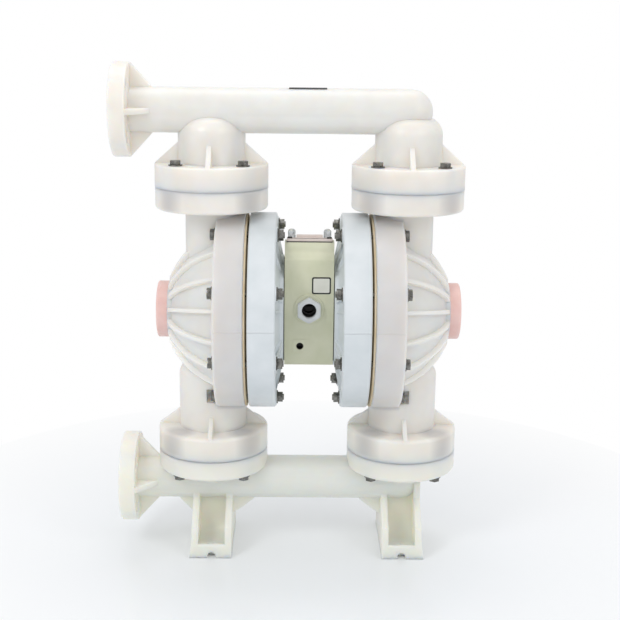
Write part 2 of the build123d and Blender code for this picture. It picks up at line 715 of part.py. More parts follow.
def cap_screws():
    """Right-hand set of socket screws that hold an air cap to the block."""
    screws = []
    for y, z in screw_points():
        shank = cyl_x(CAP_SCREW_R, BLOCK_X - CAP_SCREW_L, AIR_FLOOR_X, y, z)
        head = cyl_x(CAP_SCREW_HEAD_R, AIR_FLOOR_X, AIR_FLOOR_X + CAP_SCREW_HEAD_H, y, z)
        socket = Pos(0, y, z) * hex_x(6.0, AIR_FLOOR_X + 4, AIR_FLOOR_X + CAP_SCREW_HEAD_H + 1)
        screws.append(shank + head - socket)
    return group(screws)


def block_blank():
    """Outside of the centre block: stepped and rounded front, raised front top, lower rear."""
    wall_y = BLOCK_FRONT + LEDGE_RUN
    body = slab([
        (BLOCK_FRONT, BLOCK_BOTTOM), (BLOCK_BACK, BLOCK_BOTTOM), (BLOCK_BACK, SHOULDER_Z),
        (TOWER_BACK, SHOULDER_Z), (TOWER_BACK, BLOCK_TOP), (wall_y, BLOCK_TOP),
        (wall_y, LEDGE_Z + LEDGE_RISE), (BLOCK_FRONT, LEDGE_Z),
    ], 2 * BLOCK_X, Plane.YZ)
    across = body.edges().filter_by(Axis.X)
    low_step = across.sort_by_distance((0, BLOCK_FRONT, LEDGE_Z))[0]
    high_step = across.sort_by_distance((0, wall_y, LEDGE_Z + LEDGE_RISE))[0]
    body = fillet([low_step, high_step], 7.0)
    bottom = body.edges().filter_by(Axis.X).group_by(Axis.Z)[0]
    return fillet(bottom, 1.5)


def center_block():
    """Centre section: air inlet, airways, shaft and pilot bores."""
    boss_y = BLOCK_FRONT - INLET_BOSS_H
    boss = cyl_y(INLET_BOSS_R, boss_y, BLOCK_FRONT + 1, z=AIR_INLET_Z)
    boss = chamfer(boss.edges().group_by(Axis.Y)[0], 1.2)
    pad_r = PILOT_PORT_R * 2
    pad = block(
        PILOT_PORT_X - pad_r, PILOT_PORT_X + pad_r + 4, BLOCK_FRONT - 0.8, BLOCK_FRONT + 1,
        PILOT_PORT_Z - pad_r, PILOT_PORT_Z + pad_r,
    )
    body = block_blank() + boss + pad
    thread_end = boss_y + BUSHING_THREAD_L
    body -= cyl_y(BUSHING_THREAD_R + RUN_FIT, boss_y - 1, thread_end, z=AIR_INLET_Z)
    body -= cyl_y(AIRWAY_R, thread_end - 1, AIRWAY_Y, z=AIR_INLET_Z)
    body -= cyl_z(AIRWAY_R, AIR_INLET_Z, AIRWAY_Z, 0, AIRWAY_Y)
    body -= cyl_y(AIRWAY_R, AIRWAY_Y, BLOCK_BACK + 1, z=AIRWAY_Z)
    body -= cyl_y(PILOT_PORT_R, BLOCK_FRONT - 2, BLOCK_FRONT + PILOT_PORT_L, PILOT_PORT_X, PILOT_PORT_Z)
    body -= cyl_y(EXHAUST_R + LOOSE, BLOCK_BACK - EXHAUST_L, BLOCK_BACK + 1, z=EXHAUST_Z)
    body -= cyl_x(ROD_BUSH_R, -BLOCK_X - 1, BLOCK_X + 1)
    body -= cyl_x(PILOT_BUSH_R, -BLOCK_X - 1, BLOCK_X + 1, z=PILOT_Z)
    for side in (-1, 1):
        for y, z in screw_points():
            body -= cyl_x(CAP_SCREW_R, side * (BLOCK_X - CAP_SCREW_L), side * (BLOCK_X + 1), y, z)
        body -= cyl_z(TOP_CAP_PEG_R + LOOSE, BLOCK_TOP - TOP_CAP_PEG_L, BLOCK_TOP + 1, side * TOP_CAP_X, TOP_CAP_Y)
    for x, z in valve_screw_points():
        body -= cyl_y(VALVE_SCREW_R, BLOCK_BACK - VALVE_SCREW_IN, BLOCK_BACK + 1, x, z)
    for x in cover_screw_points():
        body -= cyl_z(COVER_SCREW_R, BLOCK_TOP - COVER_SCREW_L, BLOCK_TOP + 1, x, COVER_SCREW_Y)
    return body


def inlet_bushing():
    """Hexagonal reducing bushing screwed into the air inlet."""
    boss_y = BLOCK_FRONT - INLET_BOSS_H
    hexagon = hex_x(BUSHING_HEX, 0, BUSHING_HEX_L)
    hexagon = hexagon & turned_x([
        (0, 0), (0, BUSHING_HEX), (BUSHING_HEX_L - 3, BUSHING_HEX * 0.58),
        (BUSHING_HEX_L, BUSHING_HEX * 0.53), (BUSHING_HEX_L, 0),
    ])
    hexagon = Pos(0, boss_y, 0) * Rot(0, 0, -90) * Rot(30, 0, 0) * hexagon
    body = hexagon + cyl_y(BUSHING_THREAD_R, boss_y - 1, boss_y + BUSHING_THREAD_L)
    body -= cyl_y(AIR_INLET_R, boss_y - BUSHING_HEX_L - 1, boss_y + BUSHING_THREAD_L + 1)
    return Pos(0, 0, AIR_INLET_Z) * body


# -------------------------------------------------------- shaft and diaphragms
def diaphragm():
    """Right-hand diaphragm: outer lip, bead, rolling fold and clamped centre, turned about the shaft."""
    clamp = DIAPHRAGM_CLAMP_X
    mid_r = (BEAD_IN_R + PLATE_R) / 2
    root_r = BEAD_IN_R - 2
    rim_r = PLATE_R + 2
    lip_x = FLUID_RIM_IN - FLANGE_LIP_T
    face_x = clamp + DIAPHRAGM_T
    crown_x = FLUID_RIM_IN + (clamp - FLUID_RIM_IN) * 1.9
    outer = Spline((face_x, rim_r), (crown_x, mid_r), (FLUID_RIM_IN, root_r), tangents=((0, 1), (-1, 1)))
    inner = Spline((AIR_RIM_OUT, root_r), (crown_x - DIAPHRAGM_T, mid_r), (clamp, rim_r), tangents=((1, -1), (0, -1)))
    bead = Polyline(
        (AIR_RIM_OUT, root_r), (AIR_RIM_OUT, BEAD_OUT_R), (lip_x, BEAD_OUT_R), (lip_x, FLANGE_LIP_R),
        (FLUID_RIM_IN, FLANGE_LIP_R), (FLUID_RIM_IN, root_r),
    )
    hub = Polyline((clamp, rim_r), (clamp, STUD_R + LOOSE), (face_x, STUD_R + LOOSE), (face_x, rim_r))
    body = Rot(360 / RIB_COUNT, 0, 0) * revolve(Plane.XZ * make_face([outer, inner, bead, hub]), axis=Axis.X)
    hole = cyl_x(JOINT_HOLE_R, AIR_RIM_OUT, FLUID_RIM_IN + 1, z=RIM_BOLT_R)
    return body - around_x(hole, rim_angles())


def inner_plate():
    """Right-hand diaphragm plate on the air side."""
    x1 = DIAPHRAGM_CLAMP_X
    x0 = x1 - PLATE_T
    return turned_x([
        (x0, STUD_R + LOOSE), (x0, PLATE_R * 0.45), (x0 + 4, PLATE_R * 0.6),
        (x0 + 4, PLATE_R - 2), (x0 + 6, PLATE_R), (x1, PLATE_R), (x1, STUD_R + LOOSE),
    ])


def outer_plate():
    """Right-hand diaphragm plate on the liquid side."""
    x0 = DIAPHRAGM_CLAMP_X + DIAPHRAGM_T
    x1 = x0 + PLATE_T
    return turned_x([
        (x0, STUD_R + LOOSE), (x0, PLATE_R), (x0 + 2, PLATE_R), (x1 - 3, PLATE_R * 0.75),
        (x1, PLATE_R * 0.45), (x1, STUD_R + LOOSE),
    ])


def rod_end_x():
    """Station of the outer face of the shaft nut's seat."""
    return DIAPHRAGM_CLAMP_X + DIAPHRAGM_T + PLATE_T


def diaphragm_rod():
    """Shaft with a stud at each end."""
    shoulder = DIAPHRAGM_CLAMP_X - PLATE_T
    body = cyl_x(ROD_R, -shoulder, shoulder)
    end = rod_end_x() + ROD_NUT_H + STUD_PROUD
    return body + cyl_x(STUD_R, -end, end)


def rod_nut():
    """Right-hand shaft nut."""
    x0 = rod_end_x()
    return hex_x(ROD_NUT_HEX, x0, x0 + ROD_NUT_H) - cyl_x(STUD_R, x0 - 1, x0 + ROD_NUT_H + 1)


def sleeve(outer_r, inner_r, x0, x1, z=0.0):
    """Plain sleeve along X."""
    return cyl_x(outer_r, x0, x1, z=z) - cyl_x(inner_r, x0 - 1, x1 + 1, z=z)


def pilot_half_length():
    """Half length that leaves a small gap to the plate at the end of the stroke."""
    return DIAPHRAGM_CLAMP_X - PLATE_T - STROKE + PILOT_STROKE - PILOT_GAP


def pilot_rod():
    """Pilot valve rod that the diaphragm plates push, with two waists."""
    half = pilot_half_length()
    body = cyl_x(PILOT_R, -half, half, z=PILOT_Z)
    for side in (-1, 1):
        waist = cyl_x(PILOT_R + 1, side * 2, side * 8, z=PILOT_Z)
        waist -= cyl_x(PILOT_R - 1.5, side * 2, side * 8, z=PILOT_Z)
        body -= waist
    return body


# ------------------------------------------------------------------ air valve
def valve_screw_points():
    """Places of the screws of the air valve."""
    return [(i * VALVE_SCREW_X, z) for i in (-1, 1) for z in (VALVE_LOW + 8, VALVE_HIGH - 8)]


def valve_gasket():
    """Gasket behind the air valve body."""
    sheet = block(-VALVE_HALF_X, VALVE_HALF_X, BLOCK_BACK, BLOCK_BACK + GASKET_T, VALVE_LOW, VALVE_HIGH)
    sheet -= cyl_y(AIRWAY_R, BLOCK_BACK - 1, BLOCK_BACK + GASKET_T + 1, z=AIRWAY_Z)
    for x, z in valve_screw_points():
        sheet -= cyl_y(VALVE_SCREW_R + LOOSE, BLOCK_BACK - 1, BLOCK_BACK + GASKET_T + 1, x, z)
    return sheet


def valve_body():
    """Air valve body with its spool bore and a rib pattern on its back."""
    front = BLOCK_BACK + GASKET_T
    body = block(-VALVE_HALF_X, VALVE_HALF_X, front, VALVE_BACK, VALVE_LOW, VALVE_HIGH)
    body = fillet(body.edges().filter_by(Axis.X).group_by(Axis.Y)[-1], 8.0)
    for i in (-1, 0, 1):
        body -= block(i * 14 - 3, i * 14 + 3, VALVE_BACK - 3, VALVE_BACK + 1, SPOOL_Z - 22, SPOOL_Z + 22)
    body -= cyl_x(SPOOL_R, -VALVE_HALF_X - 1, VALVE_HALF_X + 1, SPOOL_Y, SPOOL_Z)
    body -= cyl_y(AIRWAY_R - 2, front - 1, SPOOL_Y, z=AIRWAY_Z - 6)
    for x, z in valve_screw_points():
        body -= cyl_y(VALVE_SCREW_R + LOOSE, front - 1, VALVE_BACK + 1, x, z)
    return body


def spool():
    """Valve spool with three lands."""
    r = SPOOL_R - RUN_FIT
    waist = r - 5
    half = SPOOL_HALF
    bar = turned_x([
        (-half, 0), (-half, r), (-half + 12, r), (-half + 12, waist), (-6, waist), (-6, r),
        (6, r), (6, waist), (half - 12, waist), (half - 12, r), (half, r), (half, 0),
    ])
    return Pos(0, SPOOL_Y, SPOOL_Z) * bar


def end_caps():
    """Both end caps of the spool bore."""
    caps = []
    for side in (-1, 1):
        x0, x1 = sorted((side * VALVE_HALF_X, side * (VALVE_HALF_X + END_CAP_T)))
        half = END_CAP_SIDE / 2
        cap = block(x0, x1, SPOOL_Y - half, SPOOL_Y + half, SPOOL_Z - half, SPOOL_Z + half)
        caps.append(fillet(cap.edges().filter_by(Axis.X), 6.0))
    return group(caps)


def valve_screws():
    """Long screws through the air valve body into the block."""
    screws = []
    for x, z in valve_screw_points():
        shank = cyl_y(VALVE_SCREW_R, BLOCK_BACK - VALVE_SCREW_IN, VALVE_BACK + 1, x, z)
        screws.append(shank + cyl_y(VALVE_HEAD_R, VALVE_BACK, VALVE_BACK + VALVE_HEAD_H, x, z))
    return group(screws)


def silencer():
    """Exhaust silencer: threaded end, hexagon and ringed body with a domed end."""
    y = BLOCK_BACK + GASKET_T
    end = y + SILENCER_L
    points = [(y, 0), (y, 17), (y + 8, 17), (y + 8, SILENCER_R)]
    step = 7.0
    start = y + 11
    for i in range(8):
        at = start + i * step
        points += [(at, SILENCER_R), (at, SILENCER_R - 2.5), (at + 3, SILENCER_R - 2.5), (at + 3, SILENCER_R)]
    points += [(end - 4, SILENCER_R), (end, SILENCER_R - 6), (end, 0)]
    body = Rot(0, 0, 90) * turned_x(points)
    body += cyl_y(EXHAUST_R, BLOCK_BACK - EXHAUST_L, y + 1)
    body -= cyl_y(EXHAUST_R - 5, BLOCK_BACK - EXHAUST_L - 1, end - 8)
    return Pos(0, 0, EXHAUST_Z) * body


# ------------------------------------------------------------------ top cover
def cover_screw_points():
    """Stations of the top cover's screws along X."""
    return [-COVER_SCREW_X, COVER_SCREW_X]


def cover_outline():
    """T-shaped outline of the cover, seen from above."""
    return [
        (-COVER_X, COVER_FRONT), (COVER_X, COVER_FRONT), (COVER_X, COVER_STRIP_BACK),
        (COVER_PAD_X, COVER_STRIP_BACK), (COVER_PAD_X, COVER_BACK), (-COVER_PAD_X, COVER_BACK),
        (-COVER_PAD_X, COVER_STRIP_BACK), (-COVER_X, COVER_STRIP_BACK),
    ]


def top_gasket():
    """Gasket under the top cover."""
    face = make_face(Polyline(*cover_outline(), close=True))
    sheet = Pos(0, 0, BLOCK_TOP) * extrude(face, amount=GASKET_T)
    for x in cover_screw_points():
        sheet -= cyl_z(COVER_SCREW_R + LOOSE, BLOCK_TOP - 1, BLOCK_TOP + GASKET_T + 1, x, COVER_SCREW_Y)
    return sheet


def top_cover():
    """Cover of the front of the block: a strip with two screws and a raised pad behind it."""
    z0 = BLOCK_TOP + GASKET_T
    z1 = z0 + COVER_T
    plate = Pos(0, 0, z0) * extrude(make_face(Polyline(*cover_outline(), close=True)), amount=COVER_T)
    plate += block(-COVER_PAD_X, COVER_PAD_X, COVER_STRIP_BACK, COVER_BACK, z1 - 1, z1 + COVER_PAD_H)
    for x in cover_screw_points():
        plate -= cyl_z(COVER_SCREW_R + LOOSE, z0 - 1, z1 + 1, x, COVER_SCREW_Y)
    return plate


def cover_screws():
    """Pan-head screws of the top cover."""
    z = BLOCK_TOP + GASKET_T + COVER_T
    screws = []
    for x in cover_screw_points():
        head = cyl_z(COVER_HEAD_R, z, z + COVER_HEAD_H, x, COVER_SCREW_Y)
        head = fillet(head.edges().group_by(Axis.Z)[-1], COVER_HEAD_H / 2)
        screws.append(head + cyl_z(COVER_SCREW_R, BLOCK_TOP - COVER_SCREW_L, z + 1, x, COVER_SCREW_Y))
    return group(screws)


def top_caps():
    """Two clear domed caps beside the cover's pad."""
    caps = []
    for side in (-1, 1):
        x = side * TOP_CAP_X
        cap = cyl_z(TOP_CAP_R, BLOCK_TOP, BLOCK_TOP + TOP_CAP_H, x, TOP_CAP_Y)
        cap = fillet(cap.edges().group_by(Axis.Z)[-1], TOP_CAP_R * 0.8)
        caps.append(cap + cyl_z(TOP_CAP_PEG_R, BLOCK_TOP - TOP_CAP_PEG_L, BLOCK_TOP + 1, x, TOP_CAP_Y))
    return group(caps)


# ------------------------------------------------------------------ fasteners

def hex_bolt(length):
    """M10 bolt along +X: the head ends at x = 0 and the shank runs to x = length."""
    head = hex_x(M10_HEX, -M10_HEAD_H, 0)
    return head + cyl_x(JOINT_BOLT_R, -1, length)


def washer():
    """M10 washer along +X from x = 0."""
    return sleeve(M10_WASHER_R, JOINT_BOLT_R + LOOSE, 0, M10_WASHER_T)


def rim_nut_face():
    """Station of the inner face of the washers under the rim nuts."""
    return AIR_RIM_IN - NUT_BOSS_H - M10_WASHER_T


def rim_bolts():
    """Right-hand set of through bolts of a chamber rim, heads outside."""
    length = FLUID_RIM_OUT + M10_WASHER_T - rim_nut_face() + M10_NUT_H + 2
    bolt = Pos(FLUID_RIM_OUT + M10_WASHER_T, 0, RIM_BOLT_R) * Rot(0, 180, 0) * hex_bolt(length)
    return group(around_x(bolt, rim_angles()))


def rim_nuts():
    """Right-hand set of nuts on the air cap side."""
    x1 = rim_nut_face()
    nut = hex_x(M10_HEX, x1 - M10_NUT_H, x1) - cyl_x(JOINT_BOLT_R, x1 - M10_NUT_H - 1, x1 + 1)
    return group(around_x(Pos(0, 0, RIM_BOLT_R) * nut, rim_angles()))


def rim_washers():
    """Washers of both rims, under heads and nuts."""
    one = Pos(0, 0, RIM_BOLT_R) * washer()
    pair = [Pos(FLUID_RIM_OUT, 0, 0) * one, Pos(rim_nut_face(), 0, 0) * one]
    right = [copy for shape in pair for copy in around_x(shape, rim_angles())]
    return group(right + [mirrored(shape) for shape in right])


def joint_bolt_length(disc_t):
    """Length from under the head to the end in the insert."""
    return M10_WASHER_T + disc_t + INSERT_DEPTH + INSERT_L - 2


def leg_joint_bolts(outlet):
    """Bolts of both outlet or both inlet joints."""
    disc_t = OUTLET_DISC_T if outlet else INLET_DISC_T
    bolt = hex_bolt(joint_bolt_length(disc_t))
    turn = Rot(0, 90, 0) if outlet else Rot(0, -90, 0)
    top = OUTLET_SEAM_Z + disc_t + M10_WASHER_T
    low = INLET_SEAM_Z - disc_t - M10_WASHER_T
    bolts = []
    for side in (-1, 1):
        for dx, dy in joint_points():
            bolts.append(Pos(side * LEG_X + dx, dy, top if outlet else low) * turn * bolt)
    return group(bolts)


def joint_washers():
    """Washers under all leg joint bolts."""
    shapes = []
    for side in (-1, 1):
        for dx, dy in joint_points():
            for z in (OUTLET_SEAM_Z + OUTLET_DISC_T, INLET_SEAM_Z - INLET_DISC_T - M10_WASHER_T):
                shapes.append(Pos(side * LEG_X + dx, dy, z) * Rot(0, -90, 0) * washer())
    return group(shapes)


def joint_inserts():
    """Threaded inserts moulded into the discs of the fluid caps."""
    shapes = []
    for side in (-1, 1):
        for dx, dy in joint_points():
            x = side * LEG_X + dx
            for z0 in (OUTLET_SEAM_Z - INSERT_DEPTH - INSERT_L, INLET_SEAM_Z + INSERT_DEPTH):
                body = cyl_z(INSERT_R, z0, z0 + INSERT_L, x, dy)
                shapes.append(body - cyl_z(JOINT_BOLT_R, z0 - 1, z0 + INSERT_L + 1, x, dy))
    return group(shapes)


# ------------------------------------------------------------------- assembly
def write_pair(name, shape):
    """Write a right-hand piece and its left-hand copy."""
    write(f"right_{name}", shape)
    write(f"left_{name}", mirrored(shape))


def main():
    """Build every piece and write it as its own node."""
    os.makedirs("parts", exist_ok=True)
    write("outlet_manifold", outlet_manifold())
    write("inlet_manifold", inlet_manifold())
    write_pair("fluid_cap", fluid_cap())
    write_pair("cap_plug", cap_plug())
    write_pair("air_cap", air_cap())
    write_pair("block_gasket", block_gasket())
    write_pair("air_cap_screws", cap_screws())
    write("center_block", center_block())
    write("air_inlet_bushing", inlet_bushing())
    write_pair("diaphragm", diaphragm())
    write_pair("inner_plate", inner_plate())
    write_pair("outer_plate", outer_plate())
    write_pair("rod_nut", rod_nut())
    write("diaphragm_rod", diaphragm_rod())
    bush = sleeve(ROD_BUSH_R, ROD_R + RUN_FIT, ROD_BUSH_IN, ROD_SEAL_IN)
    seal = sleeve(ROD_BUSH_R, ROD_R + RUN_FIT, ROD_SEAL_IN, ROD_SEAL_OUT)
    pilot_bush = sleeve(PILOT_BUSH_R, PILOT_R + RUN_FIT, 9.0, BLOCK_X, PILOT_Z)
    write("rod_bushings", group([bush, mirrored(bush)]))
    write("rod_seals", group([seal, mirrored(seal)]))
    write("pilot_bushings", group([pilot_bush, mirrored(pilot_bush)]))
    write("pilot_rod", pilot_rod())
    for name, side in SIDES.items():
        x = side * LEG_X
        write(f"{name}_outlet_seat", seat(OUTLET_SEAM_Z, x))
        write(f"{name}_inlet_seat", seat(INLET_SEAM_Z, x))
        write(f"{name}_outlet_o_ring", o_ring(OUTLET_SEAM_Z, x, True))
        write(f"{name}_inlet_o_ring", o_ring(INLET_SEAM_Z, x, True))
        write(f"{name}_outlet_ball", Pos(x, 0, ball_center(OUTLET_SEAM_Z)) * Sphere(BALL_R))
        write(f"{name}_inlet_ball", Pos(x, 0, ball_center(INLET_SEAM_Z)) * Sphere(BALL_R))
    write("air_valve_gasket", valve_gasket())
    write("air_valve_body", valve_body())
    write("air_valve_spool", spool())
    write("air_valve_end_caps", end_caps())
    write("air_valve_screws", valve_screws())
    write("exhaust_silencer", silencer())
    write("top_gasket", top_gasket())
    write("top_cover", top_cover())
    write("top_cover_screws", cover_screws())
    write("top_caps", top_caps())
    write_pair("rim_bolts", rim_bolts())
    write_pair("rim_nuts", rim_nuts())
    write("rim_washers", rim_washers())
    write("outlet_joint_bolts", leg_joint_bolts(True))
    write("inlet_joint_bolts", leg_joint_bolts(False))
    write("joint_washers", joint_washers())
    write("joint_inserts", joint_inserts())


main()
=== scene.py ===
"""Air operated double diaphragm pump: finishes, loose details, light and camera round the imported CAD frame."""

import json
import logging
import math
from abc import ABC, abstractmethod
from collections.abc import Callable, Iterable, Sequence
from dataclasses import dataclass, field
from enum import Enum

import bmesh
import bpy
from mathutils import Matrix, Vector

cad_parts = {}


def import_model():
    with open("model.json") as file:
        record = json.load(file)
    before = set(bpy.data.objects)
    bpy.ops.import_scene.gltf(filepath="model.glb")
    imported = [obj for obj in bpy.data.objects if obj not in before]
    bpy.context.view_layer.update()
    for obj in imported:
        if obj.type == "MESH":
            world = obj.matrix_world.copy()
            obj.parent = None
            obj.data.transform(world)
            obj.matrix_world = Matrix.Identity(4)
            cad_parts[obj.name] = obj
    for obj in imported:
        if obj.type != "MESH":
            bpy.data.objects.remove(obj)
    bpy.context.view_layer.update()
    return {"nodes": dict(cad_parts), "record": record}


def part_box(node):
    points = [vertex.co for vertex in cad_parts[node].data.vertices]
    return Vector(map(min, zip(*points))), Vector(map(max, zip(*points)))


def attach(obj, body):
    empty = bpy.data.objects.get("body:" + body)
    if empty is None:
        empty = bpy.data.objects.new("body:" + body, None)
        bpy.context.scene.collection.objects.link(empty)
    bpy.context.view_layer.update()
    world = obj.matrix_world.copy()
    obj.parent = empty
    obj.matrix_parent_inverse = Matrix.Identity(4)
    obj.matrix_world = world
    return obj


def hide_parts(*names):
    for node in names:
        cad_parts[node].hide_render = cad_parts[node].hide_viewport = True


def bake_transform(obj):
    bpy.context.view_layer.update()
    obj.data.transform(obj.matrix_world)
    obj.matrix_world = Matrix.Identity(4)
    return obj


log = logging.getLogger("pump")

Node = bpy.types.Node
Socket = bpy.types.NodeSocket
Triple = tuple[float, float, float]
Colour = tuple[float, float, float, float]

# Lengths are in millimetres, unless a name ends in _m; MM turns them into Blender's metres.
MM = 0.001
X, Y, Z = range(3)
ROOT = "pump"
SIDES = {"left": -1.0, "right": 1.0}  # each chamber and the sign of its X
NOISE_SPAN = (0.3, 0.7)  # most values of a noise lie between these
INLET_Z = 15.7  # air inlet, from the chamber axis
PILOT_X, PILOT_Z, PILOT_R = -14.5, -46.3, 5.72  # pilot port of the block, from the chamber axis


# --------------------------------------------------------------------------
# Places taken from the CAD frame
# --------------------------------------------------------------------------
def span(node: str, axis: int) -> tuple[float, float]:
    """Give a node's nearest and furthest station along an axis, to a micrometre, on either side of the middle."""
    near, far = sorted(round(abs(corner[axis]) / MM, 3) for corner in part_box(node))
    return near, far


@dataclass(frozen=True)
class Layout:
    """Where the frame puts what the finishes and the loose pieces line up with."""

    axis_z: float  # chamber axis above the floor
    leg_x: float  # axis of the joints, from the middle
    rim_r: float  # outer radius of the chamber rims
    air_face: float  # face of an air cap's rim
    clamp_x: float  # where the inner plate holds the diaphragm
    sheet_t: float  # thickness of the diaphragm between its plates

    @classmethod
    def from_frame(cls) -> "Layout":
        """Measure the frame's nodes.

        Returns:
            The layout.
        """
        clamp_x = span("right_inner_plate", X)[1]
        return cls(
            axis_z=sum(span("diaphragm_rod", Z)) / 2,
            leg_x=sum(span("right_outlet_seat", X)) / 2,
            rim_r=span("right_air_cap", Y)[1],
            air_face=span("right_air_cap", X)[1],
            clamp_x=clamp_x,
            sheet_t=span("right_outer_plate", X)[0] - clamp_x,
        )


# --------------------------------------------------------------------------
# Colour and node helpers
# --------------------------------------------------------------------------
def linear(code: str) -> Colour:
    """Turn an sRGB hex code with its leading hash into linear red, green and blue, with an alpha of one."""
    parts = [int(code[i:i + 2], 16) / 255 for i in (1, 3, 5)]
    return tuple(c / 12.92 if c <= 0.04045 else ((c + 0.055) / 1.055) ** 2.4 for c in parts) + (1.0,)


@dataclass
class Graph:
    """A node tree, the one way of adding nodes to it, and the patterns that finishes are made of."""

    tree: bpy.types.NodeTree

    def add(self, kind: str, inputs: dict | Sequence = (), **settings: object) -> Node:
        """Add one node with its settings and links.

        Args:
            kind: The part of Blender's node type after ShaderNode, such as Math.
            inputs: Input name or number to its feed, or the feeds in the order of the inputs. A feed is a
                value, a socket, or a node whose first output is meant.
            settings: Attributes of the node.

        Returns:
            The new node.
        """
        node = self.tree.nodes.new(f"ShaderNode{kind}")
        for name, value in settings.items():
            setattr(node, name, value)
        for key, feed in inputs.items() if isinstance(inputs, dict) else enumerate(inputs):
            if isinstance(feed, (Node, Socket)):
                self.tree.links.new(feed.outputs[0] if isinstance(feed, Node) else feed, node.inputs[key])
            else:
                node.inputs[key].default_value = feed
        return node

    def place(self) -> Socket:
        """Give the point being shaded in the object's own coordinates, in metres."""
        return self.add("TexCoord").outputs["Object"]

    def noise(self, size: float, detail: float = 3.0, roughness: float = 0.5,
              stretch: Triple = (1.0, 1.0, 1.0)) -> Node:
        """Noise whose features have a real size.

        Args:
            size: Typical feature size.
            detail: Octaves.
            roughness: Weight of the finer octaves.
            stretch: Feature length along X, Y and Z in units of the size.

        Returns:
            The node, whose value runs from about 0.3 to 0.7.
        """
        scaled = self.add("Mapping", {"Vector": self.place(), "Scale": tuple(1 / s for s in stretch)})
        return self.add("TexNoise", {
            "Vector": scaled, "Scale": 1 / (size * MM), "Detail": detail, "Roughness": roughness,
        })

    def away(self, value: Socket, station: float) -> Node:
        """Give the distance in metres of a coordinate, also in metres, from a station."""
        past = self.add("Math", [value, station * MM], operation="SUBTRACT")
        return self.add("Math", [past], operation="ABSOLUTE")

    def from_axis(self, counted: Triple, axis: Triple, place: Node | Socket | None = None) -> Socket:
        """Distance from an axis that runs along X, Y or Z.

        Args:
            counted: One for the two coordinates that count, zero for the one along the axis.
            axis: A point on the axis, with zero along it.
            place: The point to measure from, if it isn't the point being shaded.

        Returns:
            The distance in metres.
        """
        flat = self.add("VectorMath", [place or self.place(), counted], operation="MULTIPLY")
        point = tuple(c * MM for c in axis)
        return self.add("VectorMath", [flat, point], operation="DISTANCE").outputs["Value"]

    def relief(self, *layers: tuple[Node, float]) -> Node:
        """Lay patterns over each other as relief on the surface.

        Args:
            layers: Pairs of a height from zero to one and its depth.

        Returns:
            The node that gives the normal.
        """
        normal = None
        for height, depth in layers:
            inputs = {"Height": height, "Distance": depth * MM, "Strength": 1.0}
            normal = self.add("Bump", inputs if normal is None else inputs | {"Normal": normal})
        return normal


def parting_line(graph: Graph, layout: Layout, width: float = 1.6,
                 below_rim: tuple[float, float] = (1.5, 1.0)) -> Node:
    """Mould parting line on the front and rear of the chamber rims, level with the shaft.

    Args:
        graph: The tree to build in.
        layout: Where the chambers are.
        width: Width of the line.
        below_rim: Depths under the rim between which the line appears.

    Returns:
        The node that gives one on the line, zero elsewhere.
    """
    core, edge = 0.2 * width, 0.6 * width
    part = graph.add("SeparateXYZ", [graph.place()])
    off = graph.away(part.outputs["Z"], layout.axis_z)
    line = graph.add("MapRange", [off, core * MM, edge * MM, 1.0, 0.0])
    out = graph.add("Math", [part.outputs["Y"]], operation="ABSOLUTE")
    start, end = ((layout.rim_r - depth) * MM for depth in below_rim)
    return graph.add("MapRange", [out, start, end, 0.0, line])


# --------------------------------------------------------------------------
# Finishes
# --------------------------------------------------------------------------
@dataclass(frozen=True)
class Finish(ABC):
    """One real surface: what it is made of and how it was left."""

    name: str
    colour: str
    shade: str
    roughness: float

    @abstractmethod
    def surface(self, graph: Graph, layout: Layout) -> Node:
        """Build the shader in a graph and give its node."""

    def build(self, layout: Layout) -> bpy.types.Material:
        """Make the Blender material.

        Args:
            layout: Where the frame's parts are, for patterns that line up with them.

        Returns:
            The material with its node tree.
        """
        material = bpy.data.materials.new(self.name)
        material.use_nodes = True
        material.node_tree.nodes.clear()
        graph = Graph(material.node_tree)
        graph.add("OutputMaterial", {"Surface": self.surface(graph, layout)})
        return material

    def tone(self, graph: Graph, size: float, detail: float = 3.0, ends: tuple[float, float] = (0.35, 0.65),
             most: float = 1.0) -> Socket:
        """Cloud the two colours into each other, each one full at an end of the noise's values."""
        share = graph.add("MapRange", [graph.noise(size, detail), *ends, 0.0, most])
        return self.tinted(graph, linear(self.colour), share, self.shade)

    def sheen(self, graph: Graph, size: float, detail: float, less: float, more: float) -> Node:
        """Vary the roughness in patches, from less to more than the finish's own."""
        low, high = self.roughness - less, self.roughness + more
        return graph.add("MapRange", [graph.noise(size, detail), *NOISE_SPAN, low, high])

    @staticmethod
    def tinted(graph: Graph, tone: Socket | Colour, share: Node | Socket, code: str) -> Socket:
        """Lay a share of a second colour, given as sRGB hex, over a tone."""
        return graph.add("Mix", {0: share, 6: tone, 7: linear(code)}, data_type="RGBA").outputs[2]


